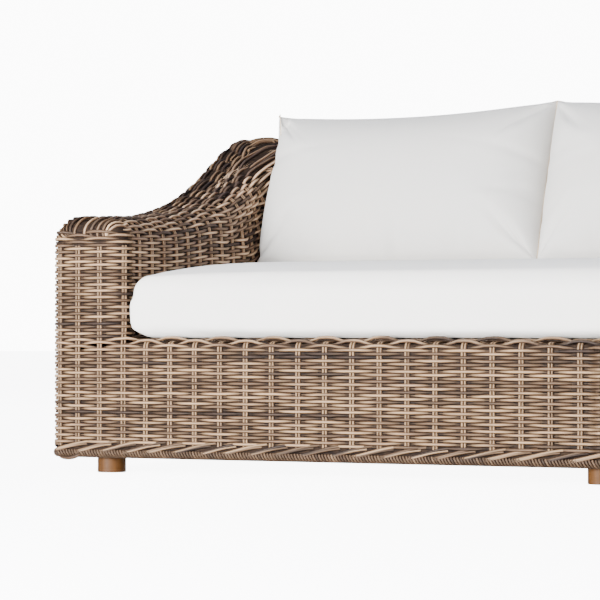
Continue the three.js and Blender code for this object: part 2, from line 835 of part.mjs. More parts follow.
function seatCushion() {
  const geometry = new THREE.BoxGeometry(2, 2, 2, 26, 14, 4);
  const places = geometry.attributes.position;
  const spot = new THREE.Vector3();
  const core = new THREE.Vector3();
  for (let i = 0; i < places.count; i += 1) {
    spot.fromBufferAttribute(places, i);
    spot.x = closeToEdge(spot.x) * cushion_half_x;
    spot.y = closeToEdge(spot.y) * cushion_half_y;
    spot.z *= cushion_half_z;
    const radius = spot.z > 0 ? cushion_top_radius : cushion_bottom_radius;
    core.set(
      THREE.MathUtils.clamp(spot.x, radius - cushion_half_x, cushion_half_x - radius),
      THREE.MathUtils.clamp(spot.y, radius - cushion_half_y, cushion_half_y - radius),
      THREE.MathUtils.clamp(spot.z, radius - cushion_half_z, cushion_half_z - radius),
    );
    const out = spot.clone().sub(core);
    if (out.length() > 0) spot.copy(core).addScaledVector(out.normalize(), radius);
    const u = spot.x / cushion_half_x;
    const v = spot.y / cushion_half_y;
    if (spot.z > 0) spot.z += (spot.z / cushion_half_z) * crownAt(u, v);
    const waist = 1 - (spot.z / cushion_half_z) ** 2;
    spot.x -= Math.sign(u) * Math.abs(u) ** 8 * cushion_draw_in * (1 - v ** 2) * Math.max(0, waist);
    roundInPlan(spot);
    places.setXYZ(i, spot.x, spot.y + cushion_mid_y, spot.z + cushion_bottom + cushion_half_z);
  }
  return closedForm(geometry);
}

// Round plan corners: small at the front, and at the rear enough to clear the skin's inner corner
function roundInPlan(spot) {
  const radius = spot.y > 0 ? inner_corner_radius + cushion_corner_ease : cushion_front_corner;
  const dx = Math.abs(spot.x) - (cushion_half_x - radius);
  const dy = Math.abs(spot.y) - (cushion_half_y - radius);
  if (dx <= 0 || dy <= 0) return;
  const scale = Math.max(dx, dy) / Math.hypot(dx, dy);
  spot.x = Math.sign(spot.x) * (cushion_half_x - radius + dx * scale);
  spot.y = Math.sign(spot.y) * (cushion_half_y - radius + dy * scale);
}

function closedForm(geometry) {
  geometry.deleteAttribute("normal");
  geometry.deleteAttribute("uv");
  const merged = mergeVertices(geometry);
  merged.computeVertexNormals();
  return merged;
}

add("seat_cushion", seatCushion(), fabric);

// Three pillows fill the room between the arms
const pillow_spacing = (2 * (inner_half_width - pillow_side_gap) + 2 * soft_gap) / 3;
const pillow_width = pillow_spacing - 2 * soft_gap;

// A pillow is two crowned faces that meet at a seam, pinched at its four corners and drawn in
// between them. It leans on the back, is flat where it stands on the cushion and where it touches
// the back, and eases away from the rounded inner corners so that it lifts out freely.
function backPillow(middle_x) {
  const geometry = new THREE.BoxGeometry(2, 2, 2, 16, 2, 14);
  const places = geometry.attributes.position;
  const lean = new THREE.Matrix4().makeRotationX(-pillow_lean);
  const foot_y = back_face - pillow_foot_from_back;
  const spot = new THREE.Vector3();
  for (let i = 0; i < places.count; i += 1) {
    spot.fromBufferAttribute(places, i);
    const u = closeToEdge(spot.x);
    const v = closeToEdge(spot.z);
    const full = Math.sqrt(Math.max(0, 1 - u ** 4) * Math.max(0, 1 - Math.abs(v) ** 3));
    const thick = pillow_seam / 2 + (pillow_thickness / 2 - pillow_seam / 2) * full ** 0.9;
    const width = (pillow_width / 2) * u - pillow_draw_in * Math.sign(u) * u ** 2 * (1 - v ** 2);
    const height = (pillow_height / 2) * v - pillow_draw_in * Math.sign(v) * v ** 2 * (1 - u ** 2);
    spot.set(width, spot.y * thick, height + pillow_height / 2).applyMatrix4(lean);
    spot.x += middle_x;
    spot.y += foot_y;
    spot.z += cushionTop(middle_x, foot_y);
    fitInRoom(spot);
    places.setXYZ(i, spot.x, spot.y, spot.z);
  }
  return closedForm(geometry);
}

function fitInRoom(spot) {
  spot.z = Math.max(spot.z, cushionTop(spot.x, spot.y) + soft_gap);
  const face = backFaceAt(Math.min(spot.z, back_height - top_edge_radius)) - corner_gap;
  spot.y = Math.min(spot.y, face);
  const dx = Math.abs(spot.x) - corner_centre_x;
  const dy = spot.y - corner_centre_y;
  if (dx <= 0 || dy <= 0) return;
  const angle = Math.atan2(dy, dx);
  const room = inner_corner_radius + (face + corner_gap - back_face) * Math.sin(angle) ** 2;
  const reach = room - 2 * corner_gap - pillow_corner_ease * Math.sin(2 * angle);
  if (Math.hypot(dx, dy) <= reach) return;
  const scale = reach / Math.hypot(dx, dy);
  spot.x = Math.sign(spot.x) * (corner_centre_x + dx * scale);
  spot.y = corner_centre_y + dy * scale;
}

[["left", -1], ["centre", 0], ["right", 1]].forEach(([word, step]) => {
  add(`pillow_${word}`, backPillow(step * pillow_spacing), fabric);
});

export default sofa;
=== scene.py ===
"""A three-seat woven garden sofa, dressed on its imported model: a woven skin over the tube frame,
teak feet, one long seat cushion and three loose back pillows. Metres, +X right, +Y back, +Z up."""

import json
import math

import bpy
import numpy as np
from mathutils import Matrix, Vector

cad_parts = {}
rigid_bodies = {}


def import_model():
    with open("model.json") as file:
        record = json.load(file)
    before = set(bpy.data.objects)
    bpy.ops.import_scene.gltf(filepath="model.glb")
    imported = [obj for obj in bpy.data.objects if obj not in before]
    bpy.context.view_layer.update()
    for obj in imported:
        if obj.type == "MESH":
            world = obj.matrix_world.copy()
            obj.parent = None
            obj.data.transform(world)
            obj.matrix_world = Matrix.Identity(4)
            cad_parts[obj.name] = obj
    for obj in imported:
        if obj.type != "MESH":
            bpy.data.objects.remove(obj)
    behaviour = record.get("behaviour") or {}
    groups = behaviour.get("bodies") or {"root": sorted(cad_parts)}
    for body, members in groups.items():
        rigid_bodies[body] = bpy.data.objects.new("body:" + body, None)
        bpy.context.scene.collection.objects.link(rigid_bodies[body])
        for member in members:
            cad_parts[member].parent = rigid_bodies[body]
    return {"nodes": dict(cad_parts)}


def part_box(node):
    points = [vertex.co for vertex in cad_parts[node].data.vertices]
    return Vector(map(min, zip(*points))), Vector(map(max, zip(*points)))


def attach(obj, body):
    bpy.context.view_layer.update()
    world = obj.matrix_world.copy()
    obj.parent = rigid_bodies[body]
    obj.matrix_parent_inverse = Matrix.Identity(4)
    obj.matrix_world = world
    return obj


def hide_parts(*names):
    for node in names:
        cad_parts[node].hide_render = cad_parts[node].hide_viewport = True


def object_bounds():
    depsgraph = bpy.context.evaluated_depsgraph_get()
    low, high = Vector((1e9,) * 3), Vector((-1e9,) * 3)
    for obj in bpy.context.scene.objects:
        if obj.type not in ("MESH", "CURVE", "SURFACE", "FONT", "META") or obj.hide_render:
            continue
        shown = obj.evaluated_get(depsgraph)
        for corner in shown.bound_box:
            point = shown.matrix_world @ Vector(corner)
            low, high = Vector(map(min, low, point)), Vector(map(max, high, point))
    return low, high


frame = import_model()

bl_info = {
    "name": "Woven Garden Sofa",
    "version": (1, 0, 0),
    "blender": (4, 5, 0),
    "location": "View3D > Sidebar > Sofa",
    "description": "Weaves, upholsters and finishes a garden sofa round its frame",
    "category": "Object",
}

CAD_BOX = [list(corner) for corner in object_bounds()]

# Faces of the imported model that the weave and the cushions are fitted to
ARM_LOW, ARM_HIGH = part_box("weave_arm_left")
ROLL_LOW, ROLL_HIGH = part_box("weave_arm_front_left")
BACK_LOW, BACK_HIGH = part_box("weave_back")
DECK_LOW, DECK_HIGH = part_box("seat_deck")
CUSHION_LOW, CUSHION_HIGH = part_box("seat_cushion")
HALF_WIDTH, INNER_HALF = -ARM_LOW.x, -ARM_HIGH.x
FRONT, FRONT_EDGE, ARM_TOP = ROLL_LOW.y, ROLL_HIGH.y, ROLL_HIGH.z
BACK_FACE, REAR = BACK_LOW.y, BACK_HIGH.y
FOOT_TOP, BACK_TOP = BACK_LOW.z, BACK_HIGH.z
SEAT_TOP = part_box("weave_apron")[1].z
CORNER = Vector((BACK_LOW.x, ARM_HIGH.y))
INNER_CORNER = INNER_HALF + CORNER.x

# Rounded edges of the skin: its crest, rear corners, arm fronts and seat front
TOP_RADIUS = 0.057
REAR_RADIUS = 0.060
EDGE_RADIUS = FRONT_EDGE - FRONT
APRON_RADIUS = 0.020
QUARTER = math.pi / 2

# The crest's cubic curve, as depth from the front and height
CREST_LEVEL = 0.768
LEAN_RUN = 0.049
BACK_LEAN = LEAN_RUN / (CREST_LEVEL - SEAT_TOP)
DEPTH = REAR - FRONT
CLIMB_START, START_PULL, END_PULL = 0.06, 0.72, 0.76
CREST = np.array([
    (CLIMB_START * DEPTH, ARM_TOP), (START_PULL * DEPTH, ARM_TOP),
    (END_PULL * DEPTH, CREST_LEVEL), (DEPTH, CREST_LEVEL),
])

# The weave: rows to each wall, and how closely they may lie
OUTER_ROWS, INNER_ROWS, FRONT_ROWS, ARM_ROWS = 77, 41, 36, 69
BORDER_ROWS = 4
CREST_ROWS, CREST_PITCH = 5, 0.0085
FULL_PITCH = 0.0070
SKIN = 0.008             # from the skin's face in to the middle of the weave
# Depths of the dark sheets that paint the shade behind the strands
SHADE_SHEET_DEPTH = 0.0108          # from the skin's face in to the sheet behind the strands
CREST_SHADE_SHEET_DEPTH = 0.0076
BETWEEN = 0.5            # phase of a point half-way from one stake to the next


def length_property(name, description, default, low, high):
    return bpy.props.FloatProperty(name=name, description=description, default=default,
                                   min=low, max=high, precision=4, unit="LENGTH")


def colour_property(name, description, default):
    return bpy.props.FloatVectorProperty(name=name, description=description, default=default,
                                         size=3, min=0, max=1, subtype="COLOR")


class WeaveSettings(bpy.types.PropertyGroup):
    """Sizes of the woven skin"""

    strand_width: length_property(
        "Strand Width", "Width of one strand across its flat side", 0.0074, 0.003, 0.02)
    strand_depth: length_property(
        "Strand Depth", "Thickness of one strand", 0.0052, 0.002, 0.01)
    over_height: length_property(
        "Over Height", "How far a strand stands off the middle of the weave at a stake",
        0.0044, 0.002, 0.01)
    facets: bpy.props.IntProperty(
        name="Facets", description="Faces round one strand", default=6, min=4, max=12)
    steps: bpy.props.IntProperty(
        name="Steps", description="Points from one stake to the next", default=4, min=4, max=8)
    seed: bpy.props.IntProperty(
        name="Seed", description="Which mix of shades the strands get", default=7, min=0)


def smooth(share):
    share = np.clip(share, 0.0, 1.0)
    return share * share * (3.0 - 2.0 * share)


def unit(vectors):
    return vectors / np.linalg.norm(vectors, axis=-1)[..., None]


def columns(*values):
    """Values side by side as columns, with single numbers repeated"""
    return np.column_stack(np.broadcast_arrays(*values))


def run_of(line):
    """How far along a line each of its points lies"""
    return np.concatenate([[0.0], np.cumsum(np.linalg.norm(np.diff(line, axis=0), axis=1))])


def read_at(at, run, table):
    """The rows of a table at these places along its run"""
    return np.column_stack([np.interp(at, run, column) for column in table.T])


def placed(name, mesh):
    """A new object in the scene, at the origin"""
    piece = bpy.data.objects.new(name, mesh)
    bpy.context.scene.collection.objects.link(piece)
    return piece


def declare(piece, body, nodes):
    """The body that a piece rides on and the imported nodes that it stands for"""
    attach(piece, body)
    if nodes:
        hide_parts(*nodes)


def add_node(tree, kind, inputs=(), **settings):
    """A new node, each of whose inputs is set to a value or linked to a socket"""
    node = tree.nodes.new(kind)
    for key, value in settings.items():
        setattr(node, key, value)
    for key, value in dict(inputs).items():
        if isinstance(value, bpy.types.NodeSocket):
            tree.links.new(value, node.inputs[key])
        else:
            node.inputs[key].default_value = value
    return node


def crest_height(y):
    """The height of the crest at this depth"""
    t = np.linspace(0.0, 1.0, 600)[:, None]
    curve = ((1 - t) ** 3 * CREST[0] + 3 * t * (1 - t) ** 2 * CREST[1]
             + 3 * t ** 2 * (1 - t) * CREST[2] + t ** 3 * CREST[3])
    return np.interp(np.asarray(y) - FRONT, curve[:, 0], curve[:, 1])


# Woven faces. A face is a grid of points from its foot to the middle of the crest, on sections
# that stand along a path in plan, and every strand is a line drawn on that grid.
ARM_SECTIONS, CORNER_SECTIONS, BACK_SECTIONS = 60, 30, 40
ARC = 14                 # points on a quarter turn


def plan_sections():
    """Outer and inner point in plan, and the share of the back's lean, from the left arm's front
    round the back to the right arm's front"""
    arm = np.linspace(FRONT_EDGE, CORNER.y, ARM_SECTIONS)
    back = np.linspace(CORNER.x, 0.0, BACK_SECTIONS)[1:]
    side, rear = HALF_WIDTH + CORNER.x, REAR - CORNER.y
    turn = np.linspace(0.0, QUARTER, ARC)[1:]
    corner = np.vstack([
        columns(-side, np.linspace(0.0, rear - REAR_RADIUS, CORNER_SECTIONS)[1:]),
        columns(-side + REAR_RADIUS * (1 - np.cos(turn)), rear - REAR_RADIUS * (1 - np.sin(turn))),
        columns(np.linspace(-side + REAR_RADIUS, 0.0, CORNER_SECTIONS)[1:], rear),
    ])
    ray = unit(corner)
    centre = np.array(CORNER)
    outer = np.vstack([columns(-HALF_WIDTH, arm), centre + corner, columns(back, REAR)])
    inner = np.vstack([columns(-INNER_HALF, arm), centre + ray * INNER_CORNER,
                       columns(back, BACK_FACE)])
    lean = np.concatenate([np.zeros(len(arm)), ray[:, 1] ** 2, np.ones(len(back))])
    flip = np.array([-1.0, 1.0])
    return [np.concatenate([half, half[-2::-1] * turn])
            for half, turn in ((outer, flip), (inner, flip), (lean, 1.0))]


def section_profile(outer, inner, lean, inside, skin):
    """One section from its foot, up the wall and over the rounded top to the middle of the crest"""
    along = inner - outer
    width = np.linalg.norm(along)
    along = along / width
    radius = TOP_RADIUS - skin
    turn = np.linspace(0.0, QUARTER, ARC)
    drop = skin + radius * (1 - np.sin(turn))
    height_at = lambda u: crest_height(outer[1] + along[1] * u)
    rim = height_at(width / 2) - TOP_RADIUS
    middle = (width - lean * BACK_LEAN * (rim - SEAT_TOP)) / 2
    foot, base = skin, FOOT_TOP
    u = skin + radius * (1 - np.cos(turn))
    if inside:
        foot, base = width - skin, SEAT_TOP
        u = width - u
        u = u - lean * BACK_LEAN * (height_at(u) - drop - SEAT_TOP)
    flat = np.linspace(u[-1], middle, 6)[1:]
    z = np.concatenate([[base], height_at(u) - drop, height_at(flat) - skin])
    u = np.concatenate([[foot], u, flat])
    return columns(outer[0] + along[0] * u, outer[1] + along[1] * u, z)


class WovenFace:
    """A grid on one face of the skin, with lengths along the path and up the section"""

    LEAN_SHARE, LEAN_FADE = 0.45, 0.42
    OUTER_GAP, INNER_GAP = 0.0585, 0.0577

    def __init__(self, inside, skin, step=0.008, levels=241):
        outer, inner, lean = plan_sections()
        run = run_of(inner if inside else outer)
        self.length, self.levels, self.inside = run[-1], levels, inside
        self.start = INNER_START if inside else OUTER_START
        self.gap = self.length / self.stake_count()
        count = int(self.length / step) | 1
        self.at = np.linspace(0.0, self.length, count)
        outer, inner = read_at(self.at, run, outer), read_at(self.at, run, inner)
        lean = np.interp(self.at, run, lean)
        grid, rise, wall = [], [], []
        for section in zip(outer, inner, lean):
            profile = section_profile(*section, inside, skin)
            run = run_of(profile)
            grid.append(read_at(np.linspace(0.0, run[-1], levels), run, profile))
            rise.append(run[-1])
            wall.append(run[ARC])
        self.grid, self.rise, self.wall = np.array(grid), np.array(rise), np.array(wall)
        out = unit(np.cross(np.gradient(self.grid, axis=0), np.gradient(self.grid, axis=1)))
        ahead = inner - outer if inside else outer - inner
        self.out = -out if np.dot(out[0, 5, :2], ahead[0]) < 0 else out
        self.lean = self.stake_lean(count // 2)

    def stake_count(self):
        """How many stake gaps fill the face when its ends carry on the fronts' pattern"""
        if self.inside:
            ends = MARKS - 2 * self.start
            return round(self.length / self.INNER_GAP / 2) * 2 + ends - 2 * round(ends / 2)
        count = round(self.length / self.OUTER_GAP)
        return count + (count + 1) % 2 - 2 * self.start

    def stake_lean(self, middle):
        """How far a stake's top has moved along the path, as it stands square to the rows"""
        slope = np.gradient(self.grid[:, -1, 2], self.at)
        window = np.hanning(21)
        slope = np.convolve(np.pad(slope, 10, mode="edge"), window / window.sum(), mode="valid")
        lean = slope * self.rise * self.LEAN_SHARE
        for place in range(1, middle + 1):
            least = lean[place - 1] - self.LEAN_FADE * (self.at[place] - self.at[place - 1])
            lean[place] = max(lean[place], least)
        fade = smooth(np.linspace(0.0, 1.0, 12))
        lean[middle - 11:middle + 1] *= fade[::-1]
        lean[middle:] = -lean[middle::-1]
        return lean

    def look(self, table, s, d):
        """A table of the grid at places along the path and up the section"""
        i = np.clip(s / self.at[1], 0, len(self.at) - 1.001)
        share = d / np.interp(s, self.at, self.rise)
        m = np.clip(share * (self.levels - 1), 0, self.levels - 1.001)
        i0, m0 = i.astype(int), m.astype(int)
        fi, fm = (i - i0)[:, None], (m - m0)[:, None]
        low = table[i0, m0] * (1 - fi) + table[i0 + 1, m0] * fi
        high = table[i0, m0 + 1] * (1 - fi) + table[i0 + 1, m0 + 1] * fi
        return low * (1 - fm) + high * fm

    def point(self, s, d):
        return self.look(self.grid, s, d)

    def outward(self, s, d):
        return unit(self.look(self.out, s, d))

    def tilt(self, s, d):
        """How far the stakes have moved along the path at this height"""
        rise = np.interp(s, self.at, self.rise)
        return np.interp(s, self.at, self.lean) * (d / rise) ** 2


def face_rows(face, first_count, spread):
    """Rows that fan out with the height of the face, and a few on the flat of the crest"""
    wanted = first_count * np.sqrt(face.wall / face.wall[0])
    rows = fanned(face.wall, wanted, first_count, spread, 0)
    flat = face.rise - face.wall
    for row in fanned(flat, flat / CREST_PITCH, CREST_ROWS, (0.1, 0.9), 100):
        rows.append((row[0] + face.wall, *row[1:]))
    return rows


def fanned(room, wanted, first_count, spread, first_pair):
    """Where each row lies at each station, whether it is there, its parity, its pair and its
    girth. Rows that come in where the room grows do so in pairs, so the plain weave goes on."""
    low, high = spread
    pairs = int((wanted.max() - first_count) / 2)
    order = [(float(i), 1.0, i % 2, -1) for i in range(first_count)]
    for pair in range(pairs):
        golden = (pair * 0.618034 + 0.35) % 1.0
        home = int(first_count * (low + (high - low) * golden))
        place = home + 0.9 * (pair + 1) / (pairs + 1)
        order.append((place, 0.0, (home + 1) % 2, first_pair + pair))
        order.append((place + 0.01, 0.0, home % 2, first_pair + pair))
    order.sort()
    weight = np.ones((len(order), len(room)))
    for row, (_, _, _, pair) in enumerate(order):
        if pair >= 0:
            weight[row] = smooth((wanted - first_count - 2 * (pair - first_pair)) / 2.0)
    shown = weight >= 0.45
    share = np.linspace(0.0, 1.0, len(order))[:, None]
    loose = np.clip(room / room[0] - 1.0, 0.0, 0.6)[None, :] * (first_pair == 0)
    weight = weight * (1.0 + 0.5 * loose * share)
    total = weight.sum(axis=0)
    at = (np.cumsum(weight, axis=0) - weight / 2) / total * room[None, :]
    girth = np.clip(weight * room[None, :] / total / FULL_PITCH, 0.62, 1.12)
    return [(at[row], shown[row], *order[row][2:], girth[row]) for row in range(len(order))]


# A strand's line is a table with one row for each point
PLACE, SPOT, WAY, PHASE, TONE, GIRTH = 0, slice(1, 4), slice(4, 7), 7, 8, 9
FLIP = np.array([-1.0, 1.0, 1.0])


def line_of(spot, way, phase, tone, girth=1.0, place=0.0):
    place, phase, tone, girth = [np.broadcast_to(value, len(spot))
                                 for value in (place, phase, tone, girth)]
    return np.column_stack([place, spot, way, phase, tone, girth])


class Strands:
    """Guide lines for one woven piece"""

    def __init__(self):
        self.lines = []

    def keep(self, line):
        if len(line) > 1:
            self.lines.append(line)

    def add(self, spot, way, phase, tone, girth=1.0):
        self.keep(line_of(spot, way, phase, tone, girth))

    def mesh(self, name):
        """The lines as edges of a mesh, with what each point carries as attributes"""
        mesh = bpy.data.meshes.new(name)
        table = np.vstack(self.lines)
        ends = np.cumsum([len(line) for line in self.lines]) - 1
        start = np.delete(np.arange(len(table)), ends)
        mesh.vertices.add(len(table))
        mesh.vertices.foreach_set("co", table[:, SPOT].ravel())
        mesh.edges.add(len(start))
        mesh.edges.foreach_set("vertices", columns(start, start + 1).ravel())
        out = mesh.attributes.new("outward", "FLOAT_VECTOR", "POINT")
        out.data.foreach_set("vector", table[:, WAY].ravel())
        for word, column in (("phase", PHASE), ("girth", GIRTH), ("tone", TONE)):
            values = mesh.attributes.new(word, "FLOAT", "POINT")
            values.data.foreach_set("value", table[:, column].copy())
        mesh.update()
        return mesh


def strand_tree():
    """Turns guide lines into woven strands: each point steps off the middle of the weave by its
    phase, and a flattened profile is run along the line with its flat side outwards"""
    tree = bpy.data.node_groups.new("woven_strands", "GeometryNodeTree")
    for name, kind in (("Guides", "Geometry"), ("Strand Width", "Float"), ("Strand Depth", "Float"),
                       ("Over Height", "Float"), ("Facets", "Int"), ("Seed", "Int"),
                       ("Finish", "Material")):
        tree.interface.new_socket(name, in_out="INPUT", socket_type="NodeSocket" + kind)
    tree.interface.new_socket("Strands", in_out="OUTPUT", socket_type="NodeSocketGeometry")

    def add(kind, inputs=(), **settings):
        return add_node(tree, kind, inputs, **settings).outputs

    def named(word, kind="FLOAT"):
        return add("GeometryNodeInputNamedAttribute", {"Name": word}, data_type=kind)["Attribute"]

    def maths(operation, *values):
        return add("ShaderNodeMath", enumerate(values), operation=operation)[0]

    def store(geometry, word, value, domain="POINT"):
        inputs = {"Geometry": geometry, "Name": word, "Value": value}
        return add("GeometryNodeStoreNamedAttribute", inputs, data_type="FLOAT", domain=domain)[0]

    source = add("NodeGroupInput")
    weave = maths("COSINE", maths("MULTIPLY", named("phase"), math.pi))
    wave = maths("MAXIMUM", maths("MINIMUM", maths("MULTIPLY", weave, 1.3), 1.0), -1.0)
    lift = maths("MULTIPLY", wave, source["Over Height"])
    step = add("ShaderNodeVectorMath", {0: named("outward", "FLOAT_VECTOR"), "Scale": lift},
               operation="SCALE")[0]
    # The weave's wave, kept for the strands' stretch and for the painted shade where a strand dives
    # in
    guides = store(source["Guides"], "weave", weave)
    guides = add("GeometryNodeSetPosition", {"Geometry": guides, "Offset": step})[0]
    line = add("GeometryNodeMeshToCurve", {"Mesh": guides})[0]
    line = add("GeometryNodeSetCurveNormal",
               {"Curve": line, "Normal": named("outward", "FLOAT_VECTOR")}, mode="FREE")[0]
    shade = add("FunctionNodeRandomValue", {"Seed": source["Seed"]}, data_type="FLOAT")[1]
    line = store(line, "strand", shade, "CURVE")
    line = store(line, "run", add("GeometryNodeSplineParameter")["Length"])

    ring = add("GeometryNodeCurvePrimitiveCircle",
               {"Radius": 0.5, "Resolution": source["Facets"]})["Curve"]
    size = add("ShaderNodeCombineXYZ",
               {"X": source["Strand Depth"], "Y": source["Strand Width"], "Z": 1.0})[0]
    ring = add("GeometryNodeTransform", {"Geometry": ring, "Scale": size})[0]
    part = add("GeometryNodeSplineParameter")["Factor"]
    ring = store(ring, "round", part)
    whole_turn = maths("MULTIPLY", part, math.tau)
    # How near each point of the profile lies to a strand's edge, for the painted shade along the
    # edges
    ring = store(ring, "side", maths("ABSOLUTE", maths("COSINE", whole_turn)))

    stretch = maths("ADD", maths("MULTIPLY", named("weave"), 0.07), 0.93)
    skin = add("GeometryNodeCurveToMesh",
               {"Curve": line, "Profile Curve": ring, "Fill Caps": True,
                "Scale": maths("MULTIPLY", named("girth"), stretch)})[0]
    skin = add("GeometryNodeSetShadeSmooth", {"Geometry": skin})[0]
    skin = add("GeometryNodeRealizeInstances", {"Geometry": skin})[0]
    skin = add("GeometryNodeSetMaterial", {"Geometry": skin, "Material": source["Finish"]})[0]
    add_node(tree, "NodeGroupOutput", {"Strands": skin})
    return tree


def weave_piece(name, strands, finish, body, nodes, changes=()):
    """Runs the strand tree over the guide lines and keeps the result as one plain mesh"""
    settings = bpy.context.scene.sofa_weave
    tree = bpy.data.node_groups.get("woven_strands") or strand_tree()
    guide = placed(name + "_guide", strands.mesh(name + "_guide"))
    modifier = guide.modifiers.new("strands", "NODES")
    modifier.node_group = tree
    values = {
        "Strand Width": settings.strand_width, "Strand Depth": settings.strand_depth,
        "Over Height": settings.over_height, "Facets": settings.facets,
        "Seed": settings.seed, "Finish": finish, **dict(changes),
    }
    for item in tree.interface.items_tree:
        if item.in_out == "INPUT" and item.name in values:
            modifier[item.identifier] = values[item.name]
    graph = bpy.context.evaluated_depsgraph_get()
    mesh = bpy.data.meshes.new_from_object(guide.evaluated_get(graph), depsgraph=graph)
    mesh.name = name
    old = guide.data
    bpy.data.objects.remove(guide)
    bpy.data.meshes.remove(old)
    declare(placed(name, mesh), body, nodes)


# Shades along a strand come from a smooth hash, so that a strand cut between two pieces goes on
def hashed(*keys):
    """A fixed value from 0 to 1 for each set of keys"""
    value = np.zeros(np.broadcast(*keys).shape)
    for factor, key in zip((12.9898, 78.233, 37.719), keys):
        value = value + np.asarray(key, float) * factor
    value = np.sin(value) * 43758.5453
    return value - np.floor(value)


def wander(along, key, length):
    """A smooth random value from 0 to 1 that changes over this length along a strand"""
    place = np.asarray(along) / length
    low = np.floor(place)
    blend = smooth(place - low)
    return hashed(low, key) * (1 - blend) + hashed(low + 1, key) * blend


def strand_tone(along, key, seed):
    """Shade of a strand: its own, slow and quick changes along it, and single dark stretches"""
    slow = wander(along, key + seed * 3.1, 0.24)
    quick = wander(along, key * 1.7 + seed, 0.085)
    tone = 0.34 * hashed(key, seed) + 0.36 * slow + 0.30 * quick
    dark = smooth((wander(along, key * 2.3 + 11.0, 0.30) - 0.66) * 6)
    return 0.08 + tone - 0.40 * dark


LONG_STEP = 0.0145       # a longer way than this from mark to mark gets points in between
ROW_WOBBLE, FRONT_WOBBLE = 0.0011, 0.0012


def trace_row(face, row, key, settings):
    """One row of weft on a face, with points on quarters of the stake spacing, and whether each
    point is there"""
    at, shown, parity, _, girth = row
    stake = face.start + (face.at + face.tilt(face.at, at)) / face.gap
    first, last = stake[0], stake[-1]
    marks = np.arange(math.ceil(first * settings.steps), math.floor(last * settings.steps) + 1)
    marks = marks / settings.steps
    marks = marks[(marks > first + 0.08) & (marks < last - 0.08)]
    marks = np.concatenate([[first], marks, [last]])
    gaps = np.diff(np.interp(marks, stake, face.at))
    marks = np.concatenate([np.linspace(*pair, max(1, round(gap / LONG_STEP)), endpoint=False)
                            for *pair, gap in zip(marks[:-1], marks[1:], gaps)] + [marks[-1:]])
    s = np.interp(marks, stake, face.at)
    d = np.interp(s, face.at, at)
    wobble = (hashed(np.round(marks), key + 3.3) - 0.5) * ROW_WOBBLE
    line = line_of(face.point(s, d + wobble), face.outward(s, d), marks + parity,
                   strand_tone(s, key, settings.seed), np.interp(s, face.at, girth), s)
    return line, np.interp(s, face.at, shown.astype(float)) > 0.5


def runs_of(there):
    """Start and end of each unbroken stretch of true values"""
    edges = np.flatnonzero(np.diff(np.concatenate([[0], there.astype(int), [0]])))
    return list(zip(edges[::2], edges[1::2]))


# The front: rows that start on the left side, turn round the arm's edge, cross the front and turn
# round the other edge. On the arms the upper rows turn round the inner edge onto the inner face.
WRAP = EDGE_RADIUS - SKIN
WRAP_LENGTH = WRAP * QUARTER
APRON_ROLL = APRON_RADIUS - SKIN
FIRST_STAKE = 1.22 * WRAP
SECOND_GAP = 0.0440
NARROW_GAP, WIDE_GAP = 0.0501, 0.0605
EDGE_GAP = 0.0565
OUTER_START = FIRST_STAKE / 0.0560
FRONT_GAPS = 20          # from the first stake to the last of the left half
ARM_STAND = 4            # stakes that stand on the arm's front
STAKE_FOOT, STAKE_STEP = 0.022, 0.03
STAKE_OFFSET = 0.43      # share of a strand's width, from a pair's middle to each of its strands
TOP_WAVES = (0.0021, 0.0022, 0.0012, 0.0005)


def front_stakes():
    """Places of the left half's front stakes along the front's path, which starts at the side"""
    at = [FIRST_STAKE + SECOND_GAP]
    for gap in range(1, FRONT_GAPS):
        at.append(at[-1] + NARROW_GAP + (WIDE_GAP - NARROW_GAP) * (1 - math.exp(-gap / 4)))
    flat = WRAP_LENGTH + HALF_WIDTH - EDGE_RADIUS
    stretch = (flat - WIDE_GAP / 2 - at[0]) / (at[-1] - at[0])
    return np.concatenate([[FIRST_STAKE], at[0] + (np.array(at) - at[0]) * stretch])


STAKES = front_stakes()
ARM_STAKES = np.append(STAKES[:3], STAKES[2] + EDGE_GAP * np.array([1, 2]))
MARKS = 2 * FRONT_GAPS + 1
MIDDLE = WRAP_LENGTH + HALF_WIDTH - EDGE_RADIUS
INNER_EDGE = WRAP_LENGTH + (HALF_WIDTH - INNER_HALF) - 2 * EDGE_RADIUS
PATH_END = (MIDDLE, INNER_EDGE + WRAP_LENGTH)     # below the seat, and on the arm


def front_phase(path, on_arm):
    """Stake number at a place on the left half's path, with the pattern carried on past its ends"""
    places = ARM_STAKES if on_arm else STAKES
    before, after = 2 * places[0] - places[1], 2 * places[-1] - places[-2]
    return np.interp(path, np.concatenate([[before], places, [after]]),
                     np.arange(-1, len(places) + 1))


INNER_START = float(front_phase(PATH_END[True], True))


def path_of(marks, on_arm):
    """Where on the front's path these stake numbers lie"""
    fine = np.linspace(0.0, PATH_END[on_arm], 2000)
    return np.interp(marks, front_phase(fine, on_arm), fine)


def front_plan(path, on_arm):
    """Point in plan and outward direction of the front's path, on the left half"""
    turn = np.clip(path / WRAP, 0.0, QUARTER)
    x = -HALF_WIDTH + EDGE_RADIUS - WRAP * np.cos(turn) + np.maximum(path - WRAP_LENGTH, 0.0)
    y = FRONT_EDGE - WRAP * np.sin(turn)
    out = columns(-np.cos(turn), -np.sin(turn), 0.0)
    if on_arm:
        inner = np.clip((path - INNER_EDGE) / WRAP, 0.0, QUARTER)
        bent = path > INNER_EDGE
        x = np.where(bent, -INNER_HALF - EDGE_RADIUS + WRAP * np.sin(inner), x)
        y = np.where(bent, FRONT_EDGE - WRAP * np.cos(inner), y)
        out[bent] = columns(np.sin(inner), -np.cos(inner), 0.0)[bent]
    return x, y, out


def shoulder(z):
    """How far the arm's rounded top has drawn in the front's outline at this height"""
    radius = TOP_RADIUS - SKIN
    over = np.clip(z - (ARM_TOP - TOP_RADIUS), 0.0, radius)
    return radius - np.sqrt(np.maximum(radius ** 2 - over ** 2, 0.0))


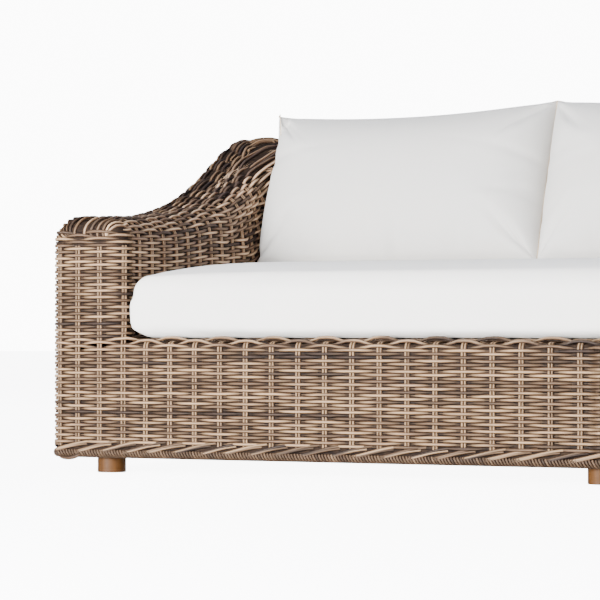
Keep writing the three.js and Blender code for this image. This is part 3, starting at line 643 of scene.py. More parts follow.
def drawn_in(z, path, on_arm):
    """How far along +X the arm's rounded top moves the points of the front's path"""
    inward = -1.0 if on_arm else 0.0
    return shoulder(z) * np.where(path < PATH_END[on_arm] / 2, 1.0, inward)


def both_halves(spot, way, marks):
    """A line of the left half, carried on to the right as its mirror image"""
    return (np.vstack([spot, spot[::-1] * FLIP]), np.vstack([way, way[::-1] * FLIP]),
            np.concatenate([marks, MARKS - marks[::-1]]))


def front_rows(strands, settings, outer, inner):
    """Rows of the front, low ones from side to side and high ones on each arm"""
    pitch = outer.wall[0] / OUTER_ROWS
    missing = SEAT_TOP - FOOT_TOP - FRONT_ROWS * pitch
    step = 1.0 / settings.steps
    for row in range(BORDER_ROWS, ARM_ROWS):
        on_arm = row >= FRONT_ROWS
        end = PATH_END[on_arm]
        last = INNER_START if on_arm else MARKS / 2
        marks = np.arange(math.ceil((-OUTER_START + 0.08) / step),
                          math.floor((last - 0.04) / step) + 1) * step
        path = np.concatenate([[0.0], path_of(marks, on_arm), [end]])
        marks = np.concatenate([[-OUTER_START], marks, [last]])
        z = np.full(len(path), FOOT_TOP + (row + 0.5) * pitch)
        edge = smooth(path / WRAP_LENGTH)
        if on_arm:
            inner_z = SEAT_TOP + (row - FRONT_ROWS + 0.5) * inner.wall[0] / INNER_ROWS
            z = z + (inner_z - z[0]) * smooth(path / end)
            edge = edge * smooth((end - path) / WRAP_LENGTH)
        else:
            z = z + missing * (row / FRONT_ROWS) ** 3 * smooth(path / 0.25)
        z = z + (hashed(np.round(marks), row + 3.3) - 0.5) * FRONT_WOBBLE * edge
        below = (ARM_ROWS if on_arm else FRONT_ROWS) - 1 - row
        wave = TOP_WAVES[below] if below < len(TOP_WAVES) else 0.0
        z = z + wave * np.cos(math.pi * (marks + row)) * edge
        x, y, way = front_plan(path, on_arm)
        x = x + drawn_in(z, path, on_arm)
        if on_arm:
            spot = columns(x, y, z)
            for flip, phase, key in ((1.0, marks, 0.0), (FLIP, MARKS - marks, 500.0)):
                tone = strand_tone(path - end + 9.0 * (key > 0), row + key, settings.seed)
                strands.add(spot * flip, way * flip, phase + row, tone)
            continue
        over = np.clip(z - (SEAT_TOP - APRON_RADIUS), 0.0, APRON_ROLL)
        over = over * smooth((x + INNER_HALF + 0.012) / 0.03)
        y = y + APRON_ROLL - np.sqrt(APRON_ROLL ** 2 - over ** 2)
        way[:, 2] = over / APRON_ROLL
        spot, way, phase = both_halves(columns(x, y, z), unit(way), marks)
        run = np.concatenate([-path, path[::-1] - 2 * MIDDLE])
        strands.add(spot, way, phase + row, strand_tone(run, row, settings.seed))


def stake_pair(points, out, side, run, keys, sink, girth, place=0.0):
    """Two strands side by side that stand through the rows"""
    lines = []
    half_gap = bpy.context.scene.sofa_weave.strand_width * STAKE_OFFSET
    for half, sign in enumerate((-1, 1)):
        tone = 0.50 + 0.30 * hashed(keys[0], half + 2.0) + 0.1 * wander(run, keys[1] + half, 0.1)
        spot = points + (side * sign * half_gap - out * sink)
        lines.append(line_of(spot, out, BETWEEN, tone, girth, place))
    return lines


def front_stake_line(number):
    """Points, directions and sideways direction of one of the left half's front stakes"""
    at = (ARM_STAKES if number < ARM_STAND else STAKES)[number:number + 1]
    low = FOOT_TOP + STAKE_FOOT
    x, y, out = front_plan(at, False)
    if number < ARM_STAND:
        arm_x, arm_y, arm_out = front_plan(at, True)
        z = np.arange(low, ARM_TOP - EDGE_RADIUS + 0.004, STAKE_STEP)
        flat = smooth((SEAT_TOP + 0.03 - z) / 0.05)[:, None]
        spot = columns(arm_x, arm_y, z) * (1 - flat) + columns(x, y, z) * flat
        spot[:, 0] += shoulder(z) * (number < 2)
        return spot, unit(arm_out * (1 - flat) + out * flat), (-arm_out[0, 1], arm_out[0, 0], 0.0)
    rim = SEAT_TOP - APRON_RADIUS
    z = np.append(np.arange(low, rim, STAKE_STEP), rim)
    turn = np.linspace(0.0, QUARTER, 5)[1:]
    rolled = columns(x, FRONT + APRON_RADIUS - APRON_ROLL * np.cos(turn),
                     rim + APRON_ROLL * np.sin(turn))
    spot = np.vstack([columns(x, FRONT + SKIN, z), rolled, (x[0], FRONT + 0.058, SEAT_TOP - SKIN)])
    way = np.vstack([np.tile([0.0, -1.0, 0.0], (len(z), 1)),
                     columns(0.0, -np.cos(turn), np.sin(turn)), (0.0, 0.0, 1.0)])
    return spot, way, (-out[0, 1], out[0, 0], 0.0)


def front_stake_lines(strands):
    for flip, more in ((1.0, 0.0), (FLIP, 100.0)):
        for number in range(len(STAKES)):
            spot, way, side = front_stake_line(number)
            run, key = np.arange(len(spot)) * STAKE_STEP, number + more
            for line in stake_pair(spot * flip, way * flip, np.array(side), run, (key, key),
                                   0.0006, 0.88):
                strands.keep(line)


def apron_top_rows(strands, settings):
    """Rows on the flat top of the front, which the seat cushion hides"""
    for row, y in enumerate(np.arange(FRONT + APRON_RADIUS + 0.004, FRONT + 0.056, 0.0076)):
        marks = np.arange(ARM_STAND * settings.steps, MARKS / 2 * settings.steps) / settings.steps
        x = front_plan(path_of(marks, False), False)[0]
        spot = columns(np.append(-INNER_HALF + 0.003, x), y, SEAT_TOP - SKIN)
        spot, way, phase = both_halves(spot, np.tile([0.0, 0.0, 1.0], (len(spot), 1)),
                                       np.append(marks[0] - 0.3, marks))
        strands.add(spot, way, phase + row, strand_tone(spot[:, 0], 300.0 + row, 3))


def crest_outline(outer, inner):
    """The arm's rounded top where its front begins, from the outer foot over to the inner foot"""
    zero = np.zeros(outer.levels)
    rise = np.linspace(0, outer.rise[0], outer.levels)
    fall = np.linspace(inner.rise[0], 0, inner.levels)
    points = np.vstack([outer.point(zero, rise), inner.point(zero, fall)[1:]])
    ways = np.vstack([outer.outward(zero, rise), inner.outward(zero, fall)[1:]])
    return run_of(points), points, ways


def on_outline(outline, at):
    """Points of the outline, and their outward directions square to the arm's length"""
    run, points, ways = outline
    way = read_at(at, run, ways)
    way[:, 1] = 0.0
    return read_at(at, run, points), unit(way)


def over_the_front(outline, place, lean, tuck):
    """A crest strand that bends down over the arm's front and is tucked behind its top rows"""
    turn = np.linspace(0.0, QUARTER, 7)[1:]
    inset = np.concatenate([WRAP * (1 - np.cos(turn)), [WRAP + tuck * 0.5, WRAP + tuck]])
    depth = np.concatenate([WRAP * np.sin(turn) - 0.001, [WRAP - 0.005, WRAP - 0.008]])
    at = place - lean * np.concatenate([np.sin(turn), [1.05, 1.1]])
    spot, way = on_outline(outline, at)
    spot = spot - way * inset[:, None]
    spot[:, 1] = FRONT_EDGE - depth
    tip = np.append(turn, [QUARTER, QUARTER])
    return spot, way * np.cos(tip)[:, None] + columns(0.0, -np.sin(tip), 0.0)


def crest_end(line, outline, place, tucked, at_end, on_right):
    """Adds the bend over an arm's front to one end of a crest strand"""
    if tucked:
        spot, way = over_the_front(outline, place, 0.020, 0.016)
    else:
        spot, way = [part[:2] for part in over_the_front(outline, place, 0.006, 0.0)]
        spot = spot - way * 0.004
    if on_right:
        spot, way = spot * FLIP, way * FLIP
    last = line[-1 if at_end else 0]
    calm = math.floor(last[PHASE]) + BETWEEN
    ramp = smooth(np.linspace(0, 2, len(spot) + 1)[1:])
    more = line_of(spot, way, last[PHASE] + (calm - last[PHASE]) * ramp, last[TONE],
                   max(last[GIRTH], 0.9), last[PLACE])
    return np.vstack([line, more] if at_end else [more[::-1], line])


def turned(line, back):
    """The point where a strand turns round a stake from one row into the next"""
    point = line[-1].copy()
    ahead = line[-1, SPOT] - line[-2, SPOT]
    point[SPOT] = (line[-1, SPOT] + back[0, SPOT]) / 2 + ahead * 0.3
    point[PHASE] = BETWEEN
    return point


def hairpins(face, rows, number, outline, places, settings):
    """A pair of short rows is one strand that turns back round a stake at each end. Where the
    pair reaches one arm's front, its two ends bend over that front."""
    key, girth = 700.0 + number, rows[number][4]
    first, there = trace_row(face, rows[number], key, settings)
    second, _ = trace_row(face, (*rows[number + 1][:4], girth), key + 0.5, settings)
    found = []
    for start, end in runs_of(there):
        low, high = first[start, PLACE] - 1e-6, first[end - 1, PLACE] + 1e-6
        ahead = first[start:end]
        back = second[(second[:, PLACE] >= low) & (second[:, PLACE] <= high)][::-1]
        if min(len(ahead), len(back)) < 5:
            continue
        if (start == 0) == (end == len(there)):
            near = turned(ahead[::-1], back[::-1])
            found.append(np.vstack([near, ahead, turned(ahead, back), back]))
            continue
        on_right = start > 0
        if on_right:
            ahead, back = ahead[::-1], back[::-1]
        line = np.vstack([ahead, turned(ahead, back), back])
        line[:, GIRTH] = np.interp(0.0, face.at, girth)
        for at_end, place in enumerate(places):
            line = crest_end(line, outline, place, at_end, at_end, on_right)
        found.append(line)
    return found


def face_wefts(face, rows, first_row, skip, outline, settings):
    """Every weft of one face, as lines with their place along the face"""
    lines = []
    base = -1
    on_outline_at = lambda row: outline[0][-1] - row[0][0] if face.inside else row[0][0]
    for number, row in enumerate(rows):
        paired = row[3] >= 0
        if not paired:
            base += 1
        if base < skip:
            continue
        if paired:
            if rows[number - 1][3] != row[3]:
                places = [on_outline_at(rows[number + step]) for step in (0, 1)]
                lines += hairpins(face, rows, number, outline, places, settings)
            continue
        line, _ = trace_row(face, row, float(first_row + base), settings)
        if first_row + base >= ARM_ROWS:
            for at_end in (False, True):
                line = crest_end(line, outline, on_outline_at(row), base % 2 == 0, at_end, at_end)
        lines.append(line)
    return lines


def face_stakes(face, key, low):
    """Stakes lean with the fan: each follows one stake number up the face"""
    lines = []
    last = math.floor(face.start + face.length / face.gap - 0.01)
    for number in range(math.ceil(face.start + 0.01), last + 1):
        middle = (number - face.start) * face.gap
        rise = np.interp(middle, face.at, face.rise)
        d = np.concatenate([np.arange(low, rise - 0.09, 0.028),
                            np.linspace(rise - 0.085, rise - 0.004, 8)])
        s = np.full(len(d), middle)
        for _ in range(6):
            s = np.clip(middle - face.tilt(s, d), 0.0, face.length)
        d = np.minimum(d, np.interp(s, face.at, face.rise) - 0.003)
        points, out = face.point(s, d), face.outward(s, d)
        side = unit(np.cross(out, np.gradient(points, axis=0)))
        lines += stake_pair(points, out, side, d, (number + key, number), 0.0009, 0.86, s)
    return lines


def dealt(lines, cuts):
    """The lines cut at these places along the face, one set of strands for each stretch"""
    sets = [Strands() for _ in range(len(cuts) + 1)]
    for line in lines:
        home = np.searchsorted(cuts, line[:, PLACE])
        start = 0
        for stop in [*(np.flatnonzero(np.diff(home)) + 1), len(home)]:
            sets[home[start]].keep(line[start:stop + 1])
            start = stop
    return sets


class FootPath:
    """The sofa's foot in plan, from the left arm's front round the front, right side and back"""

    def __init__(self, outer):
        x, y, out = front_plan(np.linspace(0.0, MIDDLE, 400), False)
        low = np.full(len(outer.at), 0.002)
        halves = ((columns(x, y), outer.point(outer.at, low)),
                  (out[:, :2], outer.outward(outer.at, low)))
        self.points, self.ways = [np.vstack([left, left[-2::-1] * FLIP[:2], rear[-2::-1, :2]])
                                  for left, rear in halves]
        self.run = run_of(self.points)
        self.length = self.run[-1]

    def look(self, at):
        at = np.mod(at, self.length)
        return read_at(at, self.run, self.points), unit(read_at(at, self.run, self.ways))


def border_slants(strands, foot, settings):
    """The stakes' lower ends, bent over in long slants, each over its neighbours and tucked in"""
    count = round(foot.length / 0.0585)
    reach = np.linspace(0.0, 1.0, 12)
    for number in range(count):
        length = 0.132 + 0.02 * (hashed(number, 4.0) - 0.5)
        for half in range(2):
            at = number * foot.length / count - 0.012 * half - length * reach
            height = FOOT_TOP + 0.0318 - 0.0056 * half - 0.0260 * smooth(reach * 0.9 + 0.05)
            arch = np.sin(np.clip(reach * 1.12, 0, 1) * math.pi)
            spot, way = foot.look(at)
            spot = spot + way * (0.0050 * np.sqrt(arch) - 0.0022)[:, None]
            tone = strand_tone(at, 900.0 + number * 2 + half, settings.seed)
            strands.add(columns(*spot.T, height), columns(*way.T, 0.0), BETWEEN, tone)


def border_wraps(strands, foot, settings):
    """Short turns of strand round the rolled lower edge"""
    radius = 0.0085
    count = round(foot.length / 0.0068)
    turn = np.linspace(-0.45, 1.15, 5) * QUARTER
    for number in range(count):
        at = number * foot.length / count + np.linspace(-0.004, 0.008, 5)
        spot, way = foot.look(at)
        spot = spot + way * (radius * np.cos(turn) - 0.0040)[:, None]
        tone = 0.14 + 0.45 * strand_tone(at[:1], 2000.0 + number, settings.seed)[0]
        strands.add(columns(*spot.T, FOOT_TOP + 0.0070 - radius * np.sin(turn)),
                    columns(*(way * np.cos(turn)[:, None]).T, -np.sin(turn)), BETWEEN, tone, 0.85)


def corner_loop(strands):
    """The loose loop of strand that hangs below the left front corner"""
    turn = np.linspace(0.0, math.pi, 12)
    spot = columns(-HALF_WIDTH + 0.020 + 0.062 * (1 - np.cos(turn)) / 2,
                   FRONT + 0.026 - 0.018 * np.sqrt(np.sin(turn) + 1e-9) - 0.012 * (turn / math.pi),
                   FOOT_TOP + 0.009 - 0.0135 * np.sin(turn))
    strands.add(spot, np.tile([0.0, -0.8, -0.6], (len(turn), 1)), BETWEEN, 0.36, 1.25)


def deck_strands(settings):
    """The coarse plain weave of the seat deck under the cushion"""
    strands = Strands()
    spacing, pitch = 0.030, 0.0098
    level = DECK_HIGH.z - SKIN
    across = int((DECK_HIGH.x - DECK_LOW.x - 0.008) / spacing)
    marks = np.arange(0, across * 2 + 1) / 2
    x = (marks - across / 2) * spacing
    up = lambda values: np.tile([0.0, 0.0, 1.0], (len(values), 1))
    for row, y in enumerate(np.arange(DECK_LOW.y + 0.006, DECK_HIGH.y - 0.004, pitch)):
        tone = strand_tone(x, 4000.0 + row, settings.seed) - 0.05
        strands.add(columns(x, y, level), up(x), marks + row, tone)
    y = np.arange(DECK_LOW.y + 0.005, DECK_HIGH.y - 0.004, 0.05)
    for stake in range(across + 1):
        spot = columns((stake - across / 2) * spacing, y, level)
        strands.add(spot, up(y), BETWEEN, 0.6 + 0.3 * float(hashed(stake, 6.0)))
    return strands


# Shade sheets: dark sheets close behind the strands, painted shade for the shaded inside of the
# weave
def front_shade_sheet(outline):
    """Grids of painted shade behind the front, the fronts of the arms, their rounded tops and the
    seat's edge
    """
    grids = []
    inset = SHADE_SHEET_DEPTH - SKIN
    for on_arm, low, high in ((False, FOOT_TOP + 0.001, SEAT_TOP - 0.012),
                              (True, SEAT_TOP - 0.03, ARM_TOP - EDGE_RADIUS + 0.002)):
        path = np.linspace(0.0, PATH_END[on_arm], 60)
        x, y, out = front_plan(path, on_arm)
        grids.append(np.array([
            columns(x - out[:, 0] * inset + drawn_in(z, path, on_arm), y - out[:, 1] * inset, z)
            for z in np.linspace(low, high, 16)]))
    spot, way = on_outline(outline, np.linspace(0.18, outline[0][-1] - 0.10, 40))
    turn = np.linspace(0.0, QUARTER, 8)[:, None]
    crest = spot - way * (inset + (WRAP - inset) * (1 - np.cos(turn)))[:, :, None]
    crest[:, :, 1] = FRONT_EDGE - (WRAP - inset) * np.sin(turn)
    grids.append(crest)
    top = [columns(np.linspace(-INNER_HALF, INNER_HALF, 20), y, SEAT_TOP - SHADE_SHEET_DEPTH)
           for y in np.linspace(FRONT + 0.020, FRONT + 0.060, 4)]
    return grids + [grid * FLIP for grid in grids] + [np.array(top)]


def deck_shade_sheet():
    """A grid of painted shade close under the deck's strands"""
    x, y = [np.linspace(low + 0.004, high - 0.004, count)
            for low, high, count in zip(DECK_LOW, DECK_HIGH, (30, 12))]
    return [np.array([columns(place, y, DECK_HIGH.z - 0.0125) for place in x])]


def shade_sheet_piece(name, grids, finish):
    """One piece of thin dark sheets that paint shade behind the strands, a quad for each cell of
    the grids
    """
    faces, start = [], 0
    for grid in grids:
        rows, width = grid.shape[:2]
        for i in range(rows - 1):
            for corner in range(start + i * width, start + (i + 1) * width - 1):
                faces.append((corner, corner + 1, corner + width + 1, corner + width))
        start += rows * width
    mesh = bpy.data.meshes.new(name)
    mesh.from_pydata(np.vstack([grid.reshape(-1, 3) for grid in grids]).tolist(), [], faces)
    mesh.update()
    mesh.shade_smooth()
    mesh.materials.append(finish)
    piece = placed(name, mesh)
    wall = piece.modifiers.new("wall", "SOLIDIFY")
    wall.thickness, wall.offset = 0.0012, 0.0
    declare(piece, "sofa_body", [])


# Finishes
class FinishSettings(bpy.types.PropertyGroup):
    """Colours of the finishes"""

    light_strand: colour_property(
        "Light Strand", "Colour of the palest strands", (0.352, 0.232, 0.136))
    middle_strand: colour_property(
        "Middle Strand", "Colour of most strands", (0.114, 0.070, 0.041))
    dark_strand: colour_property(
        "Dark Strand", "Colour of the single dark strands", (0.030, 0.019, 0.014))
    fabric: colour_property("Fabric", "Colour of the cushion covers", (0.830, 0.815, 0.790))
    teak: colour_property("Teak", "Colour of the feet", (0.072, 0.027, 0.0040))


def colour_ramp(tree, factor, *stops):
    """A colour ramp over pairs of a place and a colour"""
    node = add_node(tree, "ShaderNodeValToRGB", {"Fac": factor})
    points = node.color_ramp.elements
    while len(points) < len(stops):
        points.new(0.5)
    for point, (place, colour) in zip(points, stops):
        point.position = place
        point.color = (*colour, 1.0)
    return node.outputs["Color"]


class Finish:
    """A material and short ways to add nodes to it"""

    def __init__(self, name):
        self.material = bpy.data.materials.new(name)
        self.material.use_nodes = True
        self.tree = self.material.node_tree
        self.shader = self.tree.nodes["Principled BSDF"]
        self.coords = self.node("ShaderNodeTexCoord")["Object"]

    def node(self, kind, inputs=(), **settings):
        return add_node(self.tree, kind, inputs, **settings).outputs

    def math(self, operation, *values):
        return self.node("ShaderNodeMath", enumerate(values), operation=operation)[0]

    def times(self, value, factor):
        return self.math("MULTIPLY", value, factor)

    def attribute(self, name):
        return self.node("ShaderNodeAttribute", attribute_type="GEOMETRY",
                         attribute_name=name)["Fac"]

    def combine(self, *values):
        return self.node("ShaderNodeCombineXYZ", enumerate(values))[0]

    def noise(self, vector, scale, detail=2.0, rough=0.5):
        inputs = {"Vector": vector, "Scale": scale, "Detail": detail, "Roughness": rough}
        return self.node("ShaderNodeTexNoise", inputs)["Fac"]

    def grain(self, stretch, *detail):
        """Noise drawn out by how little it is scaled along each axis"""
        vector = self.node("ShaderNodeMapping", {"Vector": self.coords, "Scale": stretch})[0]
        return self.noise(vector, 1.0, *detail)

    def ramp(self, factor, *stops):
        return colour_ramp(self.tree, factor, *stops)

    def mixed(self, factor, first, second, blend="MIX"):
        solid = lambda value: (*value, 1.0) if isinstance(value, tuple) else value
        inputs = {0: factor, 6: solid(first), 7: solid(second)}
        return self.node("ShaderNodeMix", inputs, data_type="RGBA", blend_type=blend)[2]

    def bump(self, height, strength, distance):
        inputs = {"Height": height, "Strength": strength, "Distance": distance}
        normal = self.node("ShaderNodeBump", inputs)["Normal"]
        self.tree.links.new(normal, self.shader.inputs["Normal"])

    def finish(self, **sockets):
        """Sets or links the shader's sockets"""
        for name, value in sockets.items():
            socket = self.shader.inputs[name.replace("_", " ")]
            if isinstance(value, bpy.types.NodeSocket):
                self.tree.links.new(value, socket)
            else:
                socket.default_value = value
        return self.material


def shade(colour, factor):
    """The colour made lighter or darker by this factor"""
    return tuple(min(1.0, part * factor) for part in colour)


def wicker_finish(name, grey=0.0, painted_light=1.0):
    """Strands coloured by their own tone, with fine streaks that run along them, painted shade
    where they dive in and along their edges, and a factor that makes the whole lighter or darker as
    painted light
    """
    colours = bpy.context.scene.sofa_finish
    look = Finish(name)
    run, turn, tone = (look.attribute(word) for word in ("run", "round", "tone"))
    own = look.times(look.attribute("strand"), 91.0)

    def along(scale, *rest):
        return look.combine(look.times(run, scale), *rest)

    streaks = look.noise(along(16.0, look.times(turn, 22.0), own), 1.0, 3.0, 0.62)
    patches = look.noise(along(7.0, own), 1.0, 1.5)
    place = look.math("ADD", tone, look.times(look.math("SUBTRACT", streaks, 0.5), 0.42))
    place = look.math("ADD", place, look.times(look.math("SUBTRACT", patches, 0.5), 0.30))
    light, middle, dark = [
        tuple((part * (1 - grey) + sum(colour) / 3 * grey) * painted_light for part in colour)
        for colour in (colours.light_strand, colours.middle_strand, colours.dark_strand)]
    colour = look.ramp(place, (0.0, dark), (0.24, shade(middle, 0.62)), (0.46, middle),
                       (0.66, shade(light, 0.84)), (0.90, light))
    hue = look.noise(along(9.0, own, 3.0), 1.0, 1.0)
    cool = look.times(look.math("GREATER_THAN", hue, 0.56), 0.40)
    colour = look.mixed(cool, colour, (0.90, 0.86, 0.92), "MULTIPLY")
    white = (1.0, 1.0, 1.0)
    # Painted shade: darker where a strand dives in behind a stake
    dived = look.ramp(look.math("MULTIPLY_ADD", look.attribute("weave"), 0.5, 0.5),
                      (0.0, (0.08, 0.07, 0.065)), (0.14, (0.26, 0.24, 0.22)),
                      (0.42, (0.70, 0.69, 0.67)), (0.70, white))
    # Painted shade: darker along a strand's edges, where it meets its neighbours
    edges = look.ramp(look.attribute("side"), (0.0, (0.07, 0.055, 0.04)),
                      (0.50, (0.34, 0.28, 0.23)), (0.88, white))
    for shadow in (dived, edges):
        colour = look.mixed(1.0, colour, shadow, "MULTIPLY")
    fibre = look.noise(along(120.0, look.times(turn, 40.0), own), 1.0, 2.0)
    look.bump(look.math("ADD", look.times(streaks, 0.6), look.times(fibre, 0.4)), 0.35, 0.0006)
    rough = look.math("MULTIPLY_ADD", streaks, 0.22, 0.44)
    return look.finish(Base_Color=colour, Roughness=rough, Specular_IOR_Level=0.16)


def fabric_finish(name, painted_light=1.0):
    """Plain-woven outdoor cloth, off-white, with slubs and a faint warm and cool cast"""
    thread = 0.0016
    # A factor below or above one makes the cloth darker or lighter as painted light
    cloth = shade(bpy.context.scene.sofa_finish.fabric, painted_light)
    look = Finish(name)
    across, deep, high = look.node("ShaderNodeSeparateXYZ", {0: look.coords})
    weft, warp = [look.math("SINE", look.times(way, math.tau / thread))
                  for way in (across, look.math("ADD", deep, high))]
    slubs, more_slubs = look.grain((60.0, 700.0, 700.0)), look.grain((700.0, 60.0, 60.0))
    cast = look.noise(look.coords, 5.0)
    colour = look.mixed(look.times(slubs, 0.5), cloth, shade(cloth, 0.90))
    warm = tuple(part * factor for part, factor in zip(cloth, (1.02, 1.0, 0.965)))
    colour = look.mixed(cast, colour, warm)
    height = look.math("MULTIPLY_ADD", look.math("MULTIPLY", weft, warp), 0.35,
                       look.math("ADD", slubs, more_slubs))
    look.bump(height, 0.28, 0.0009)
    return look.finish(Base_Color=colour, Roughness=look.math("MULTIPLY_ADD", slubs, 0.10, 0.84),
                       Sheen_Weight=0.25, Sheen_Roughness=0.45)


def grained_finish(name, stretch, detail, dark, light, bump, rough, **sockets):
    """One noise that gives the colour, the relief and, where rough is a pair, the gloss"""
    look = Finish(name)
    grain = look.grain(stretch, detail)
    look.bump(grain, *bump)
    if isinstance(rough, tuple):
        rough = look.math("MULTIPLY_ADD", grain, *rough)
    return look.finish(Base_Color=look.ramp(grain, dark, light), Roughness=rough, **sockets)


# The dark finish of the sheets that paint the shade inside the weave
def shade_sheet_finish():
    return grained_finish("wicker_shade", (60.0, 60.0, 260.0), 3.0, (0.35, (0.007, 0.004, 0.003)),
                          (0.70, (0.030, 0.018, 0.011)), (0.6, 0.002), 0.8, Specular_IOR_Level=0.1)


def seam_finish():
    """The sewn edge: the same cloth, pulled together, and browner as painted shade of the crease
    where the pillows meet
    """
    return grained_finish("cushion_seam", (420.0, 420.0, 420.0), 2.0, (0.30, (0.360, 0.250, 0.150)),
                          (0.70, (0.560, 0.460, 0.340)), (0.5, 0.001), 0.88)


def bolt_finish():
    """Zinc-plated steel with fine scratches"""
    return grained_finish("bolt_zinc", (1200.0, 1200.0, 60.0), 3.0, (0.3, (0.42, 0.42, 0.43)),
                          (0.7, (0.62, 0.62, 0.61)), (0.2, 0.0002), (0.2, 0.26), Metallic=1.0)


def teak_finish():
    """Oiled teak, its grain upright"""
    wood = tuple(bpy.context.scene.sofa_finish.teak)
    look = Finish("teak_wood")
    grain = look.grain((70.0, 70.0, 6.0), 5.0, 0.62)
    lines = look.grain((420.0, 420.0, 14.0), 3.0, 0.6)
    colour = look.ramp(grain, (0.30, shade(wood, 0.55)), (0.50, wood), (0.70, shade(wood, 1.35)))
    colour = look.mixed(look.times(lines, 0.45), colour, shade(wood, 0.42))
    look.bump(look.math("ADD", grain, lines), 0.35, 0.0008)
    return look.finish(Base_Color=colour, Roughness=look.math("MULTIPLY_ADD", grain, 0.25, 0.45),
                       Specular_IOR_Level=0.2)


def tube_finish():
    """Powder coat, brown-black, with its fine orange peel"""
    look = Finish("powder_coat")
    haze = look.noise(look.coords, 14.0, 3.0)
    colour = look.ramp(haze, (0.35, (0.030, 0.024, 0.020)), (0.65, (0.046, 0.037, 0.031)))
    look.bump(look.noise(look.coords, 900.0), 0.25, 0.0003)
    return look.finish(Base_Color=colour, Roughness=look.math("MULTIPLY_ADD", haze, 0.15, 0.42))


# Cushions. Each starts as a grid on its sewn shape, is blown up by cloth simulation, and is
# then pressed against what it stands on and leans on.
class CushionSettings(bpy.types.PropertyGroup):
    """Sizes of the cushions"""

    crown: length_property(
        "Crown", "How far the seat cushion's middle stands above its edge", 0.039, 0, 0.06)
    pillow_fullness: length_property(
        "Pillow Fullness", "Thickness of a pillow's middle before it is blown up",
        0.165, 0.05, 0.25)
    pillow_height: length_property(
        "Pillow Height", "Height of a back pillow's cover, laid flat", 0.392, 0.2, 0.6)
    pillow_lean: bpy.props.FloatProperty(
        name="Pillow Lean", description="Angle by which the back pillows lean back",
        default=math.radians(21), min=0, max=math.radians(45), subtype="ANGLE")
    pressure: bpy.props.FloatProperty(
        name="Pressure", description="Air pressure that fills the covers in the simulation",
        default=4.0, min=0, max=20)
    cell: length_property(
        "Cell", "Size of a cover's grid before its last subdivision", 0.0105, 0.005, 0.03)


CUSHION_MIDDLE = (CUSHION_LOW + CUSHION_HIGH) / 2
CUSHION_HALF = (CUSHION_HIGH - CUSHION_LOW) / 2
CUSHION_HEIGHT = 0.125
TOP_EDGE, BOTTOM_EDGE = 0.036, 0.011     # radii of its long edges
FRONT_ROUND, REAR_ROUND = 0.010, INNER_CORNER + 0.010
END_BULGE = 0.018        # how far its front ends press out over the arms' rounded edges
EDGE_DROP = 0.0095       # how far its front edge hangs in front of the rounded edge it lies on
PILLOW_FOOT = BACK_FACE - 0.118
PILLOW_TOPS = ((0.016, 0.020), (-0.006, 0.013), (-0.014, 0.018))    # rise to the right, and sag
PILLOW_EDGE = 0.0022     # half a pillow's thickness at its seam
SOFT_GAP = 0.0006
FILLING_FRAMES = 20      # of the cloth simulation
TINY = 1e-9


def shell_grid(counts):
    """A closed grid over the faces of a box from -1 to 1, with quads that face outwards"""
    ids, spots, faces = {}, [], []
    for axis in range(3):
        a, b = (axis + 1) % 3, (axis + 2) % 3
        for side in (0, counts[axis]):
            for p in range(counts[a]):
                for q in range(counts[b]):
                    quad = []
                    for dp, dq in ((0, 0), (1, 0), (1, 1), (0, 1)):
                        key = [side] * 3
                        key[a], key[b] = p + dp, q + dq
                        key = tuple(key)
                        if key not in ids:
                            ids[key] = len(spots)
                            spots.append(key)
                        quad.append(ids[key])
                    faces.append(quad[::-1] if side == 0 else quad)
    return np.array(spots), np.array(spots) / np.array(counts) * 2.0 - 1.0, faces


def to_edge(share, pull=0.8):
    """Spreads grid lines closer together towards the sewn edges"""
    return np.sin(share * QUARTER * pull) / math.sin(QUARTER * pull)


def cushion_top(x, y):
    """The height of the seat cushion's domed top"""
    u = np.clip((x - CUSHION_MIDDLE.x) / CUSHION_HALF.x, -1, 1)
    v = np.clip((y - CUSHION_MIDDLE.y) / CUSHION_HALF.y, -1, 1)
    rise = np.sqrt(1 - u ** 16) * (1 - np.abs(v) ** np.where(v < 0, 2.6, 6.0))
    return CUSHION_LOW.z + CUSHION_HEIGHT + bpy.context.scene.sofa_cushions.crown * rise


def seat_cushion_form(settings):
    """A box with rounded edges, a domed top and rear corners that fit the sofa's"""
    half = np.array([CUSHION_HALF.x - 0.001, CUSHION_HALF.y - 0.001, CUSHION_HEIGHT / 2 - 0.002])
    _, spots, faces = shell_grid([max(6, round(2 * size / (settings.cell * 1.2))) for size in half])
    spots = spots * half
    edge = np.where(spots[:, 2:] > 0, TOP_EDGE, BOTTOM_EDGE)
    core = np.clip(spots, edge - half, half - edge)
    out = spots - core
    size = np.linalg.norm(out, axis=1)[:, None]
    spots = np.where(size > TINY, core + out / np.maximum(size, TINY) * edge, spots)
    x, y, z = spots.T
    dome = cushion_top(x + CUSHION_MIDDLE.x, y + CUSHION_MIDDLE.y)
    dome = dome - CUSHION_LOW.z - CUSHION_HEIGHT - 0.006
    z += np.where(z > 0, z / half[2] * dome, 0)
    ahead = smooth((-y - half[1] + 0.040) / 0.036) * (1 - 0.45 * (z / half[2]) ** 4)
    x += np.sign(x) * smooth((np.abs(x) - half[0] + 0.10) / 0.09) * END_BULGE * ahead
    reach = half[:2] - np.where(y > 0, REAR_ROUND, FRONT_ROUND)[:, None]
    past = np.abs(spots[:, :2]) - reach
    scale = past.max(axis=1) / np.maximum(np.hypot(*past.T), TINY)
    eased = np.sign(spots[:, :2]) * (reach + past * scale[:, None])
    spots[:, :2] = np.where((past > 0).all(axis=1)[:, None], eased, spots[:, :2])
    return spots + (CUSHION_MIDDLE.x, CUSHION_MIDDLE.y, CUSHION_LOW.z + CUSHION_HEIGHT / 2), faces


